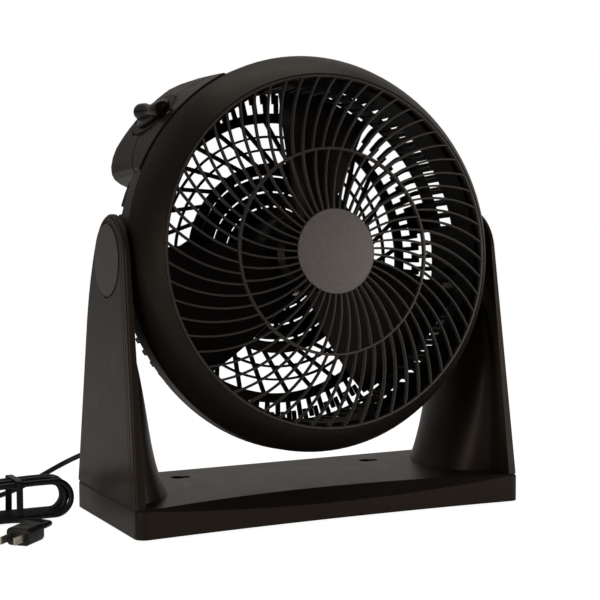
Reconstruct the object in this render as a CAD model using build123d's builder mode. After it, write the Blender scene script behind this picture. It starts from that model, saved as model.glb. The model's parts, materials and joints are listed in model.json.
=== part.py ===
from build123d import *
import os
from math import cos, sin, tan, radians, degrees, sqrt, hypot, pi, asin, acos, atan2

os.makedirs("parts", exist_ok=True)

# An air circulator fan on a U-shaped stand. Millimetres, +Z up, the grille faces -Y.
# The origin lies on the floor, under the middle of the base.

# ---------------------------------------------------------------- driving dimensions
# Stand
base_width = 381.0
base_depth = 169.0
foot_height = 1.5            # how far the rubber feet stand out below the base
deck_height = 26.5           # top of the base above the floor
shell_wall = 2.4
base_corner = 9.0            # radius of the base's upright corners
fascia_bow = 8.0             # how far the front face curves back in the middle
fascia_sag = 10.5            # how far the fascia's top edge dips in the middle
scoop_depth = 21.0           # from the fascia's top edge back to the deck, in the middle
deck_edge_round = 3.0
plate_thickness = 2.5
plate_gap = 0.4              # plate's edge to the base shell
slot_spacing = 200.0         # mounting slots in the deck
slot_length = 17.0
slot_width = 6.0
slot_back = 46.0             # slots' distance behind the middle of the base
foot_radius = 9.0
foot_seat = 1.0              # how far a foot sinks into the bottom plate
foot_inset = 24.0            # foot centre from the base's sides

# Pivots and arms
pivot_height = 234.0
head_tilt = 5.0              # the face looks up by this much at rest
arm_inner_x = 181.4          # flat inner side of the arm frame
arm_plate = 2.2
arm_foot_x = 190.3           # outer face at the foot of the arm
arm_top_x = 186.7            # outer face at the pivot's height
arm_wall = 2.4
arm_ledge = 2.6              # shelf that carries the cover's edge
arm_top_radius = 40.5        # round top of the arm frame
arm_top_y = -6.5             # its centre, ahead of the pivot
arm_front_foot_y = -79.3
arm_rear_foot_y = 80.0
arm_shoulder_y = 56.0        # rear edge's bend
arm_shoulder_z = 175.0
cover_top_radius = 34.5      # round top of the outer cover
cover_top_y = -0.5
cover_front_foot_y = -66.0
cover_thickness = 2.0
cover_gap = 0.35             # shadow gap between the cover and the ridged front band
band_round = 3.2
ridge_offset = 4.2           # groove between the band's narrow and wide ridges
ridge_groove = 1.3
pivot_cap_radius = 33.0
pivot_cap_thickness = 2.6
pivot_cap_gap = 0.3
hub_radius = 13.0            # the arm's bearing hub, and the head's trunnion
hub_inner_x = 170.0
washer_thickness = 2.0
pivot_bolt_radius = 5.0
running_gap = 0.05           # radial clearance of a shaft in its bore
bolt_head_radius = 8.6
bolt_head_height = 4.6
spring_washer_height = 1.2
counterbore_floor_x = 177.0

# Head, measured along its own axis from the pivots (forward is positive)
bezel_mouth_radius = 158.6   # front inner edge of the flared ring
bezel_mouth = 70.0
lip_radius = 180.0           # widest part of the head
lip_front = 34.0
lip_back = 16.0
bezel_wall = 2.6
bezel_flare_bulge = 2.2      # how far the flare bows outwards
grille_radius = 158.2
grille_rim_width = 2.8
grille_depth = 4.4
rib_width = 1.9
inner_rib_count = 45
outer_rib_count = 60
rib_bend = 125.0             # radius of each rib's own arc
rib_start = 37.0             # radius at which a rib leaves the centre radially
rib_phase = 18.6             # angle of a rib's foot, in degrees
mid_ring_radius = 91.5
mid_ring_width = 2.2
mid_ring_forward = 76.0
cap_radius = 37.8
cap_forward = 78.6
cap_dome = 1.6
grille_hub_radius = 35.5
duct_radius = 152.5          # inside of the shroud round the blades
duct_wall = 2.5
duct_front = 62.0
duct_back = -14.0
shroud_flange = 2.5
drum_radius = 165.0          # rear housing
drum_wall = 2.4
drum_back = -46.0
drum_round = 6.0
drum_flange = 2.5
rear_rim_radius = 156.5
rear_rim_inner = 147.0
rear_grille_depth = 3.6
rear_rib_width = 1.8
rear_ring_width = 1.8
rear_outer_ribs = 60
rear_inner_ribs = 30
rear_step_radius = 84.0      # the grille steps back here round the motor
rear_centre_back = -58.0
motor_plate_radius = 44.0

# Motor and blades
motor_radius = 37.0
motor_wall = 2.2
motor_back = -54.0
stator_back = -37.0
stator_front = -19.0
motor_front = -8.0
stator_yoke = 9.0
stator_pole_width = 14.0
rotor_radius = 18.8
air_gap = 0.4
winding_thickness = 6.5
shaft_radius = 4.0
shaft_front = 39.0
bush_radius = 8.0
bush_length = 6.0
blade_count = 3
blade_tip_radius = 148.0
blade_thickness = 2.4
blade_first_angle = 80.0
blade_hub_radius = 34.0
blade_hub_back = -4.0
blade_hub_front = 32.0
blade_hub_wall = 2.4
nut_radius = 8.5
nut_height = 6.5

# Controls, on the drum at half past ten
control_angle = 135.5
control_half_angle = 20.5
control_back_radius = 190.0  # the housing's top slopes down from here to its front
control_back = -39.5
control_seam = 14.5
control_front = 31.0
control_front_radius = 181.8
control_wall = 2.2
control_top_wall = 4.0
control_bevel = 9.0
control_bevel_angle = 3.2
seam_gap = 0.3
dial_radius = 25.0
dial_thickness = 1.6
dial_forward = -11.0
dial_seat = 185.0            # height of the dial's seat above the head's axis
dial_slope = 6.7             # its slope down to the front
knob_skirt_radius = 18.0
knob_skirt_height = 2.2
knob_grip_length = 50.0
knob_grip_width = 14.0
knob_grip_height = 9.0
knob_lift = 0.4
spindle_radius = 3.0
switch_radius = 13.5
switch_height = 11.0

# Screws
small_screw_radius = 1.9
small_head_radius = 3.6
small_head_height = 2.2
small_screw_length = 10.0

# Power cord
cord_radius = 2.5
gland_x = -166.0
gland_z = 46.0
gland_mouth_y = 78.0
gland_length = 22.0
gland_root_radius = 5.2
gland_tip_radius = 3.6
gland_flange_radius = 7.5
gland_boss_radius = 8.5

# ---------------------------------------------------------------- planes and helpers
half_width = base_width / 2
half_depth = base_depth / 2
face_dir = Vector(0, -cos(radians(head_tilt)), sin(radians(head_tilt)))
head_up = Vector(0, sin(radians(head_tilt)), cos(radians(head_tilt)))
pivot = Vector(0, 0, pivot_height)
head_front = Plane(origin=pivot, x_dir=(1, 0, 0), z_dir=face_dir)
head_side = Plane(origin=pivot, x_dir=(1, 0, 0), z_dir=-head_up)
head_axis = Axis(pivot, face_dir)
lean = atan2(arm_foot_x - arm_top_x, pivot_height - deck_height)
arm_floor_x = arm_foot_x + deck_height * tan(lean)
arm_outer = Plane(origin=(arm_floor_x, 0, 0), x_dir=(0, 1, 0), z_dir=(cos(lean), 0, sin(lean)))


def head_point(radius, angle, forward):
    """A point of the head: distance from its axis, angle seen from the front, distance forward."""
    a = radians(angle)
    return pivot + Vector(1, 0, 0) * (radius * cos(a)) + head_up * (radius * sin(a)) + face_dir * forward


def outward_plane(radius, angle, forward):
    """A plane on the head whose normal points away from the axis, its x along the head's forward."""
    a = radians(angle)
    outward = Vector(1, 0, 0) * cos(a) + head_up * sin(a)
    return Plane(origin=head_point(radius, angle, forward), x_dir=face_dir, z_dir=outward)


def side_outline(front_foot, top_y, top_radius):
    """The arm's side outline in (y, z): front line, round top and bent rear edge."""
    reach = Vector(front_foot - top_y, deck_height - pivot_height)
    towards = atan2(reach.Y, reach.X)
    touch_angle = towards - acos(top_radius / reach.length)
    foot = Vector(arm_rear_foot_y, deck_height)
    shoulder = Vector(arm_shoulder_y, arm_shoulder_z)
    centre = Vector(top_y, pivot_height)
    run = (shoulder - foot).normalized()
    inward = Vector(-run.Y, run.X)
    across_gap = centre - shoulder
    bend = (across_gap.length ** 2 - top_radius ** 2) / (2 * (across_gap.dot(inward) - top_radius))
    leave = (centre - shoulder - inward * bend).normalized()
    leave_angle = degrees(atan2(leave.Y, leave.X))
    sweep_angle = degrees(touch_angle) % 360 - leave_angle
    with BuildSketch() as outline:
        with BuildLine():
            rear = Line(foot, shoulder)
            TangentArc(shoulder, centre + leave * top_radius, tangent=rear % 1)
            top = CenterArc(centre, top_radius, leave_angle, sweep_angle)
            front = Line(top @ 1, (front_foot, deck_height))
            Line(front @ 1, foot)
        make_face()
    return outline.sketch


def ring_sector(inner, outer, first, last):
    """A ring sector between two radii and two angles, round the sketch's origin."""
    def corner(radius, angle):
        return (radius * cos(radians(angle)), radius * sin(radians(angle)))
    with BuildSketch() as area:
        with BuildLine():
            CenterArc((0, 0), inner, first, last - first)
            Line(corner(inner, last), corner(outer, last))
            CenterArc((0, 0), outer, first, last - first)
            Line(corner(outer, first), corner(inner, first))
        make_face()
    return area.sketch


# ---------------------------------------------------------------- base
def base_outline(inset):
    """The base's plan: straight back and sides, hollow front, rounded corners."""
    w, d = half_width - inset, half_depth - inset
    with BuildSketch() as plan:
        with BuildLine():
            ThreePointArc((-w, -d), (0, -d + fascia_bow), (w, -d))
            Polyline((w, -d), (w, d), (-w, d), (-w, -d))
        make_face()
        fillet(plan.vertices(), base_corner - inset / 2)
    return plan.sketch


# The scoop in front of the deck is a shallow trough that slopes down to the fascia. It fades
# out at the base's front corners, because the trough's bottom is an arc across the base.
scoop_edge_y = -half_depth + fascia_bow + scoop_depth
scoop_slope = atan2(fascia_sag, scoop_depth)
scoop_reach = half_width + 10
scoop_end = (scoop_edge_y + half_depth) * sin(scoop_slope) * (scoop_reach / half_width) ** 2


def scoop_plane(drop):
    """Plane across the trough; drop lowers it, for the inside of the shell."""
    start = (0, scoop_edge_y + drop * sin(scoop_slope), deck_height - drop * cos(scoop_slope))
    return Plane(origin=start, x_dir=(1, 0, 0), z_dir=(0, -cos(scoop_slope), -sin(scoop_slope)))


with BuildSketch() as scoop_section:
    with BuildLine():
        ThreePointArc((-scoop_reach, scoop_end), (0, 0), (scoop_reach, scoop_end))
        Polyline((scoop_reach, scoop_end), (scoop_reach, 60), (-scoop_reach, 60), (-scoop_reach, scoop_end))
    make_face()

with BuildPart() as base_core:
    with BuildSketch(Plane.XY.offset(foot_height)):
        add(base_outline(shell_wall))
    extrude(amount=deck_height - shell_wall - foot_height)
    with BuildSketch(scoop_plane(shell_wall)):
        add(scoop_section.sketch)
    extrude(amount=70, both=True, mode=Mode.SUBTRACT)

slot_places = [(-slot_spacing / 2, slot_back), (slot_spacing / 2, slot_back)]
post_places = [(x, y) for x in (-half_width + 45, 0, half_width - 45) for y in (-46, 62)]
plate_top = foot_height + plate_thickness
# screws from inside the base up into the feet of the arms
arm_screw_places = [(side * 160, y) for side in (-1, 1) for y in (-25, 40)]

with BuildPart() as base_shell:
    with BuildSketch(Plane.XY.offset(foot_height)):
        add(base_outline(0))
    extrude(amount=deck_height - foot_height)
    top_edges = base_shell.edges().filter_by(Axis.X).group_by(Axis.Z)[-1]
    fillet(top_edges.sort_by(Axis.Y)[-1], deck_edge_round)
    with BuildSketch(scoop_plane(0)):
        add(scoop_section.sketch)
    extrude(amount=70, both=True, mode=Mode.SUBTRACT)
    add(base_core.part, mode=Mode.SUBTRACT)
    # posts that take the plate's screws
    with BuildSketch(Plane.XY.offset(plate_top)):
        with Locations(*post_places):
            Circle(small_head_radius + 0.6)
    extrude(amount=deck_height - shell_wall - plate_top)
    with BuildSketch(Plane.XY.offset(plate_top)):
        with Locations(*post_places):
            Circle(small_screw_radius)
    extrude(amount=small_screw_length, mode=Mode.SUBTRACT)
    with BuildSketch(Plane.XY.offset(deck_height)):
        with Locations(*slot_places):
            SlotOverall(slot_length, slot_width)
        with Locations(*arm_screw_places):
            Circle(small_screw_radius + running_gap)
    extrude(amount=-2 * shell_wall, mode=Mode.SUBTRACT)

base_shell.part.label = "base_shell"
export_step(base_shell.part, "parts/base_shell.step")

foot_places = [(x, y) for x in (-half_width + foot_inset, half_width - foot_inset) for y in (-54, 60)]
plate_recess = 1.4           # depth of the recess round a screw head in the bottom plate

with BuildPart() as base_plate:
    with BuildSketch(Plane.XY.offset(foot_height)):
        add(base_outline(shell_wall + plate_gap))
    extrude(amount=plate_thickness)
    with BuildSketch(Plane.XY.offset(foot_height)):
        with Locations(*slot_places):
            SlotOverall(slot_length, slot_width)
        with Locations(*post_places):
            Circle(small_screw_radius + running_gap)
    extrude(amount=plate_thickness, mode=Mode.SUBTRACT)
    with BuildSketch(Plane.XY.offset(foot_height)):
        with Locations(*post_places):
            Circle(small_head_radius + 0.4)
    extrude(amount=plate_recess, mode=Mode.SUBTRACT)
    with BuildSketch(Plane.XY.offset(foot_height)):
        with Locations(*foot_places):
            Circle(foot_radius)
    extrude(amount=foot_seat, mode=Mode.SUBTRACT)

base_plate.part.label = "base_plate"
export_step(base_plate.part, "parts/base_plate.step")

with BuildPart() as rubber_feet:
    with BuildSketch():
        with Locations(*foot_places):
            Circle(foot_radius)
    extrude(amount=foot_height + foot_seat)

rubber_feet.part.label = "rubber_feet"
export_step(rubber_feet.part, "parts/rubber_feet.step")

flat_head_height = 1.2

with BuildPart() as base_screws:
    with BuildSketch(Plane.XY.offset(foot_height + plate_recess)):
        with Locations(*post_places):
            Circle(small_head_radius)
    extrude(amount=-flat_head_height)
    with BuildSketch(Plane.XY.offset(foot_height + plate_recess)):
        with Locations(*post_places):
            Circle(small_screw_radius)
    extrude(amount=small_screw_length)

base_screws.part.label = "base_screws"
export_step(base_screws.part, "parts/base_screws.step")

with BuildPart() as arm_screws:
    with BuildSketch(Plane.XY.offset(deck_height - shell_wall)):
        with Locations(*arm_screw_places):
            Circle(small_head_radius)
    extrude(amount=-small_head_height)
    with BuildSketch(Plane.XY.offset(deck_height - shell_wall)):
        with Locations(*arm_screw_places):
            Circle(small_screw_radius)
    extrude(amount=small_screw_length)

arm_screws.part.label = "arm_screws"
export_step(arm_screws.part, "parts/arm_screws.step")

# ---------------------------------------------------------------- arms
# Both arms are made on the right side; the left one is mirrored.
arm_side = Plane.YZ.offset(arm_inner_x)
pivot_point = (0, pivot_height)
cover_outline = side_outline(cover_front_foot_y, cover_top_y, cover_top_radius)
frame_outline = side_outline(arm_front_foot_y, arm_top_y, arm_top_radius)
cover_hole = offset(cover_outline, amount=cover_gap, kind=Kind.INTERSECTION, mode=Mode.PRIVATE)
ledge_inside = offset(cover_outline, amount=-arm_ledge, kind=Kind.INTERSECTION, mode=Mode.PRIVATE)
ridge_outside = offset(cover_outline, amount=ridge_offset + ridge_groove, kind=Kind.INTERSECTION, mode=Mode.PRIVATE)
ridge_inside = offset(cover_outline, amount=ridge_offset, kind=Kind.INTERSECTION, mode=Mode.PRIVATE)

with BuildPart() as arm_band:
    with BuildSketch(arm_side):
        add(frame_outline)
    extrude(amount=14)
    split(bisect_by=arm_outer, keep=Keep.BOTTOM)
    outer_edges = arm_band.faces().sort_by(Axis.X)[-1].edges()
    fillet([edge for edge in outer_edges if edge.center().Z > deck_height + 1], band_round)
    with BuildSketch(arm_side):
        add(cover_hole)
        with Locations((arm_rear_foot_y, 150)):
            Rectangle(2 * (arm_rear_foot_y - 26), 300)
    extrude(amount=14, mode=Mode.SUBTRACT)
    # groove that divides the band into a narrow and a wide ridge
    with BuildSketch(arm_outer):
        add(ridge_outside)
        add(ridge_inside, mode=Mode.SUBTRACT)
    extrude(amount=-1.2, mode=Mode.SUBTRACT)

with BuildPart() as arm_rim:
    with BuildSketch(arm_side):
        add(frame_outline)
        add(ledge_inside, mode=Mode.SUBTRACT)
    extrude(amount=14)
    with BuildSketch(arm_side):
        with Locations(pivot_point):
            Circle(pivot_cap_radius - 1.5)
            Circle(pivot_cap_radius - 4, mode=Mode.SUBTRACT)
    extrude(amount=14)
    split(bisect_by=arm_outer.offset(-cover_thickness), keep=Keep.BOTTOM)

# the arm swells inwards below the head: half-ovals of (height, depth, front y, rear y)
bulge_sections = [
    (deck_height, 46.0, -56.0, 70.0),
    (60.0, 33.0, -53.5, 66.0),
    (108.0, 23.0, -51.0, 60.5),
    (159.0, 11.8, -41.0, 51.0),
    (190.0, 1.6, -28.0, 34.0),
]


def swelling(inset, overlap, floor):
    """Loft the arm's inward swelling; inset shrinks it, overlap runs it on through the plate."""
    sketches = []
    for height, depth, front, rear in bulge_sections:
        depth, front, rear = max(depth - inset, 0.5), front + inset, rear - inset
        middle, reach = (front + rear) / 2, (rear - front) / 2
        with BuildSketch(Plane.XY.offset(max(height, floor))) as oval:
            with BuildLine():
                EllipticalCenterArc((arm_inner_x, middle), depth, reach, start_angle=90, arc_size=180)
                Polyline((arm_inner_x, front), (arm_inner_x + overlap, front),
                         (arm_inner_x + overlap, rear), (arm_inner_x, rear))
            make_face()
        sketches.append(oval.sketch)
    return loft(sketches, mode=Mode.PRIVATE)


arm_bosses = [(abs(x), y) for x, y in arm_screw_places[2:]]

with BuildPart() as right_arm_frame:
    with BuildSketch(arm_side):
        add(frame_outline)
    extrude(amount=arm_plate)
    add(arm_band.part)
    add(arm_rim.part)
    add(swelling(0, arm_plate, 0))
    add(swelling(arm_wall, arm_plate, deck_height + arm_wall), mode=Mode.SUBTRACT)
    # screw bosses on the floor of the arm's foot
    with BuildSketch(Plane.XY.offset(deck_height)):
        with Locations(*arm_bosses):
            Circle(4.5)
    extrude(amount=12)
    with BuildSketch(Plane.XY.offset(deck_height)):
        with Locations(*arm_bosses):
            Circle(small_screw_radius)
    extrude(amount=10, mode=Mode.SUBTRACT)
    # bearing hub of the pivot
    with BuildSketch(Plane.YZ.offset(hub_inner_x)):
        with Locations(pivot_point):
            Circle(hub_radius)
    extrude(amount=arm_inner_x + arm_plate - hub_inner_x)
    with BuildSketch(Plane.YZ.offset(hub_inner_x)):
        with Locations(pivot_point):
            Circle(pivot_bolt_radius + running_gap)
    extrude(amount=20, mode=Mode.SUBTRACT)
    with BuildSketch(Plane.YZ.offset(counterbore_floor_x)):
        with Locations(pivot_point):
            Circle(bolt_head_radius + 0.5)
    extrude(amount=20, mode=Mode.SUBTRACT)

right_arm_frame.part.label = "right_arm_frame"
export_step(right_arm_frame.part, "parts/right_arm_frame.step")

gland_bore = Plane(origin=(gland_x, 0, gland_z), x_dir=(1, 0, 0), z_dir=(0, 1, 0))

with BuildPart() as left_arm_frame:
    add(mirror(right_arm_frame.part, about=Plane.YZ))
    # outlet boss for the power cord
    with BuildSketch(gland_bore.offset(48)):
        Circle(gland_boss_radius)
    extrude(amount=gland_mouth_y - 48)
    with BuildSketch(gland_bore.offset(48)):
        Circle(gland_root_radius)
    extrude(amount=gland_mouth_y - 48, mode=Mode.SUBTRACT)

left_arm_frame.part.label = "left_arm_frame"
export_step(left_arm_frame.part, "parts/left_arm_frame.step")

with BuildPart() as right_arm_cover:
    with BuildSketch(arm_outer):
        add(cover_outline)
    extrude(amount=-cover_thickness)
    outer_edges = right_arm_cover.faces().sort_by(lambda face: face.normal_at().X)[-1].edges()
    fillet([edge for edge in outer_edges if edge.center().Z > deck_height + 1], 1.0)
    with BuildSketch(arm_side):
        with Locations(pivot_point):
            Circle(pivot_cap_radius + pivot_cap_gap)
    extrude(amount=20, mode=Mode.SUBTRACT)

right_arm_cover.part.label = "right_arm_cover"
export_step(right_arm_cover.part, "parts/right_arm_cover.step")

with BuildPart() as left_arm_cover:
    add(mirror(right_arm_cover.part, about=Plane.YZ))

left_arm_cover.part.label = "left_arm_cover"
export_step(left_arm_cover.part, "parts/left_arm_cover.step")

pivot_cap_plane = arm_outer.offset(-cover_thickness)

with BuildPart() as right_pivot_cap:
    with BuildSketch(pivot_cap_plane):
        with Locations((0, pivot_height / cos(lean))):
            Circle(pivot_cap_radius)
    extrude(amount=pivot_cap_thickness)
    chamfer(right_pivot_cap.faces().sort_by(Axis.X)[-1].edges(), 0.5)

right_pivot_cap.part.label = "right_pivot_cap"
export_step(right_pivot_cap.part, "parts/right_pivot_cap.step")

with BuildPart() as left_pivot_cap:
    add(mirror(right_pivot_cap.part, about=Plane.YZ))

left_pivot_cap.part.label = "left_pivot_cap"
export_step(left_pivot_cap.part, "parts/left_pivot_cap.step")

with BuildPart() as friction_washers:
    with BuildSketch(Plane.YZ.offset(hub_inner_x - washer_thickness)):
        with Locations(pivot_point):
            Circle(hub_radius - 1)
            Circle(pivot_bolt_radius + 0.3, mode=Mode.SUBTRACT)
    extrude(amount=washer_thickness)
    mirror(about=Plane.YZ)

friction_washers.part.label = "friction_washers"
export_step(friction_washers.part, "parts/friction_washers.step")

with BuildPart() as spring_washers:
    with BuildSketch(Plane.YZ.offset(counterbore_floor_x)):
        with Locations(pivot_point):
            Circle(bolt_head_radius - 0.6)
            Circle(pivot_bolt_radius + 0.3, mode=Mode.SUBTRACT)
    extrude(amount=spring_washer_height)
    mirror(about=Plane.YZ)

spring_washers.part.label = "spring_washers"
export_step(spring_washers.part, "parts/spring_washers.step")

# ---------------------------------------------------------------- flared ring
lip_point = Vector(lip_radius, lip_front)
mouth_point = Vector(bezel_mouth_radius, bezel_mouth)
flare = (mouth_point - lip_point).normalized()
flare_inward = Vector(-flare.Y, flare.X)
flare_middle = (mouth_point + lip_point) * 0.5 - flare_inward * bezel_flare_bulge
inner_lip = lip_radius - bezel_wall
seat_back, seat_front = bezel_mouth - 7.0, bezel_mouth - grille_depth
seat_radius = duct_radius + duct_wall
# the flare's inner side, carried down to the band and up to the grille's seat
inner_line = lip_point + flare_inward * bezel_wall
inner_foot = inner_line + flare * ((inner_lip - inner_line.X) / flare.X)
inner_head = inner_line + flare * ((seat_back - inner_line.Y) / flare.Y)
screw_ring = 170.3           # radius of the screws that join the head's shells
screw_places = [(screw_ring, 22.5 + 45 * i) for i in range(8)]


def head_places(places, forward):
    """Planes across the head's axis at (radius, angle) places."""
    return [Plane(origin=head_point(r, a, forward), x_dir=(1, 0, 0), z_dir=face_dir) for r, a in places]


with BuildPart() as front_bezel:
    with BuildSketch(head_side):
        with BuildLine():
            ThreePointArc(mouth_point, flare_middle, lip_point)
            Polyline(lip_point, (lip_radius, lip_back), (inner_lip, lip_back), inner_foot, inner_head,
                     (seat_radius, seat_back), (seat_radius, seat_front),
                     (bezel_mouth_radius, seat_front), mouth_point)
        make_face()
    revolve(axis=head_axis)
    # bosses for the screws from behind
    with BuildSketch(*head_places(screw_places, lip_back + shroud_flange)):
        Circle(4.2)
    extrude(amount=22.0)
    with BuildSketch(*head_places(screw_places, lip_back + shroud_flange)):
        Circle(small_screw_radius)
    extrude(amount=12.0, mode=Mode.SUBTRACT)

front_bezel.part.label = "front_bezel"
export_step(front_bezel.part, "parts/front_bezel.step")

# ---------------------------------------------------------------- front grille
# The grille's front is part of a shallow dome through its border and its middle ring.
cap_seat = cap_forward - 1.3
dome_drop = mid_ring_forward - bezel_mouth
dome_radius = (grille_radius ** 2 - mid_ring_radius ** 2) / (2 * dome_drop)
dome_top = bezel_mouth + grille_radius ** 2 / (2 * dome_radius)


def rib_turn(radius):
    """How far along its own arc, in degrees, a rib has come at a distance from the centre."""
    side, level = 2 * rib_start * rib_bend, 2 * rib_bend ** 2
    value = radius ** 2 - rib_start ** 2 - level
    return degrees(asin(value / hypot(side, level)) + atan2(level, side))


def rib(inner, outer):
    """One curved rib between two radii, in the sketch's plane."""
    first, last = rib_turn(inner), rib_turn(outer)
    with BuildSketch() as shape:
        with BuildLine():
            CenterArc((rib_start, -rib_bend), rib_bend, 90 - first, first - last)
        trace(line_width=rib_width)
    return shape.sketch


inner_rib = rib(grille_hub_radius - 1.5, mid_ring_radius)
outer_rib = rib(mid_ring_radius, grille_radius - grille_rim_width / 2)

with BuildPart() as dome_band:
    with BuildSketch(head_side):
        with BuildLine():
            front = ThreePointArc((0, dome_top), (mid_ring_radius, mid_ring_forward), (grille_radius, bezel_mouth))
            Line(front @ 1, (grille_radius, seat_front))
            back = ThreePointArc((0, dome_top - grille_depth), (mid_ring_radius, mid_ring_forward - grille_depth),
                                 (grille_radius, seat_front))
            Line(back @ 0, front @ 0)
        make_face()
    revolve(axis=head_axis)

with BuildPart() as front_grille:
    with BuildSketch(head_front.offset(seat_front - 4)):
        Circle(grille_radius)
        Circle(grille_radius - grille_rim_width, mode=Mode.SUBTRACT)
        Circle(mid_ring_radius + mid_ring_width / 2)
        Circle(mid_ring_radius - mid_ring_width / 2, mode=Mode.SUBTRACT)
        Circle(grille_hub_radius)
        with PolarLocations(0, outer_rib_count, start_angle=rib_phase):
            add(outer_rib)
        with PolarLocations(0, inner_rib_count, start_angle=rib_phase):
            add(inner_rib)
    extrude(amount=24)
    add(dome_band.part, mode=Mode.INTERSECT)
    # flat seat of the centre cap
    with BuildSketch(head_front.offset(cap_seat)):
        Circle(cap_radius + 0.5)
    extrude(amount=10, mode=Mode.SUBTRACT)

front_grille.part.label = "front_grille"
export_step(front_grille.part, "parts/front_grille.step")

with BuildPart() as grille_cap:
    with BuildSketch(head_side):
        with BuildLine():
            ThreePointArc((0, cap_forward + cap_dome), (cap_radius * 0.55, cap_forward + cap_dome * 0.72),
                          (cap_radius, cap_forward))
            Polyline((cap_radius, cap_forward), (cap_radius, cap_seat), (0, cap_seat), (0, cap_forward + cap_dome))
        make_face()
    revolve(axis=head_axis)

grille_cap.part.label = "grille_cap"
export_step(grille_cap.part, "parts/grille_cap.step")

# ---------------------------------------------------------------- shroud and rear housing
flange_front = lip_back + shroud_flange
flange_back = lip_back - drum_flange
flange_radius = inner_lip - 0.4

with BuildPart() as fan_shroud:
    with BuildSketch(head_side):
        Polygon((duct_radius, duct_back), (duct_radius, duct_front), (seat_radius, duct_front),
                (seat_radius, flange_front), (flange_radius, flange_front), (flange_radius, lip_back),
                (seat_radius, lip_back), (seat_radius, duct_back), align=None)
    revolve(axis=head_axis)
    with BuildSketch(*head_places(screw_places, lip_back)):
        Circle(small_screw_radius + running_gap)
    extrude(amount=shroud_flange, mode=Mode.SUBTRACT)

fan_shroud.part.label = "fan_shroud"
export_step(fan_shroud.part, "parts/fan_shroud.step")

control_screw_places = [(turn, forward) for turn in (-15.5, 15.5) for forward in (-30, 4)]
rear_screw_places = [(rear_rim_radius - 5, 15 + 60 * i) for i in range(6)]
drum_inner = drum_radius - drum_wall
lip_inside = drum_back + drum_wall
trunnion_inner = seat_radius + 2.5
trunnion_outer = hub_inner_x - washer_thickness
bolt_reach = seat_radius + 1.5

with BuildPart() as rear_housing:
    with BuildSketch(head_side):
        with BuildLine():
            Polyline((drum_inner, lip_back), (flange_radius, lip_back), (flange_radius, flange_back),
                     (drum_radius, flange_back), (drum_radius, drum_back + drum_round))
            RadiusArc((drum_radius, drum_back + drum_round), (drum_radius - drum_round, drum_back), drum_round)
            Polyline((drum_radius - drum_round, drum_back), (rear_rim_inner, drum_back),
                     (rear_rim_inner, lip_inside), (drum_radius - drum_round, lip_inside),
                     (drum_inner, drum_back + drum_round), (drum_inner, lip_back))
        make_face()
    revolve(axis=head_axis)
    with BuildSketch(*head_places(screw_places, flange_back)):
        Circle(small_screw_radius + running_gap)
    extrude(amount=drum_flange, mode=Mode.SUBTRACT)
    # bosses for the rear grille's screws
    with BuildSketch(*head_places(rear_screw_places, lip_inside)):
        Circle(4.0)
    extrude(amount=7.0)
    with BuildSketch(*head_places(rear_screw_places, drum_back)):
        Circle(small_screw_radius)
    extrude(amount=8.0, mode=Mode.SUBTRACT)
    # trunnions that carry the head between the arms
    with BuildSketch(Plane.YZ.offset(trunnion_inner)):
        with Locations(pivot_point):
            Circle(hub_radius)
    extrude(amount=trunnion_outer - trunnion_inner)
    with BuildSketch(Plane.YZ.offset(-trunnion_inner)):
        with Locations(pivot_point):
            Circle(hub_radius)
    extrude(amount=trunnion_inner - trunnion_outer)
    with BuildSketch(Plane.YZ.offset(-trunnion_outer)):
        with Locations(pivot_point):
            Circle(pivot_bolt_radius)
    extrude(amount=trunnion_outer - bolt_reach, mode=Mode.SUBTRACT)
    with BuildSketch(Plane.YZ.offset(trunnion_outer)):
        with Locations(pivot_point):
            Circle(pivot_bolt_radius)
    extrude(amount=bolt_reach - trunnion_outer, mode=Mode.SUBTRACT)

    # holes for the control housing's screws
    for turn, forward in control_screw_places:
        with BuildSketch(outward_plane(drum_inner - 1, control_angle + turn, forward)):
            Circle(small_screw_radius + running_gap)
        extrude(amount=drum_wall + 2, mode=Mode.SUBTRACT)

rear_housing.part.label = "rear_housing"
export_step(rear_housing.part, "parts/rear_housing.step")

bolt_head_x = counterbore_floor_x + spring_washer_height

with BuildPart() as pivot_bolts:
    with BuildSketch(Plane.YZ.offset(bolt_reach)):
        with Locations(pivot_point):
            Circle(pivot_bolt_radius)
    extrude(amount=bolt_head_x - bolt_reach)
    with BuildSketch(Plane.YZ.offset(bolt_head_x)):
        with Locations(pivot_point):
            Circle(bolt_head_radius)
    extrude(amount=bolt_head_height)
    chamfer(pivot_bolts.faces().sort_by(Axis.X)[-1].edges(), 0.6)
    # hexagon socket
    with BuildSketch(Plane.YZ.offset(bolt_head_x + bolt_head_height)):
        with Locations(pivot_point):
            RegularPolygon(4.0, 6)
    extrude(amount=-3.2, mode=Mode.SUBTRACT)
    mirror(about=Plane.YZ)

pivot_bolts.part.label = "pivot_bolts"
export_step(pivot_bolts.part, "parts/pivot_bolts.step")

with BuildPart() as bezel_screws:
    with BuildSketch(*head_places(screw_places, flange_back)):
        Circle(small_head_radius)
    extrude(amount=-small_head_height)
    with BuildSketch(*head_places(screw_places, flange_back)):
        Circle(small_screw_radius)
    extrude(amount=small_screw_length + 2)

bezel_screws.part.label = "bezel_screws"
export_step(bezel_screws.part, "parts/bezel_screws.step")

# ---------------------------------------------------------------- rear grille
rear_back = drum_back - rear_grille_depth
centre_front = rear_centre_back + rear_grille_depth
step_wall = 2.4
rear_outer_rings = [rear_step_radius + step_wall / 2, 94.5, 105.0, 115.5, 126.0, 136.5, rear_rim_inner + 0.9]
rear_inner_rings = [motor_plate_radius - 0.9, 54.0, 64.0, 74.0, rear_step_radius - step_wall / 2]


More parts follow.
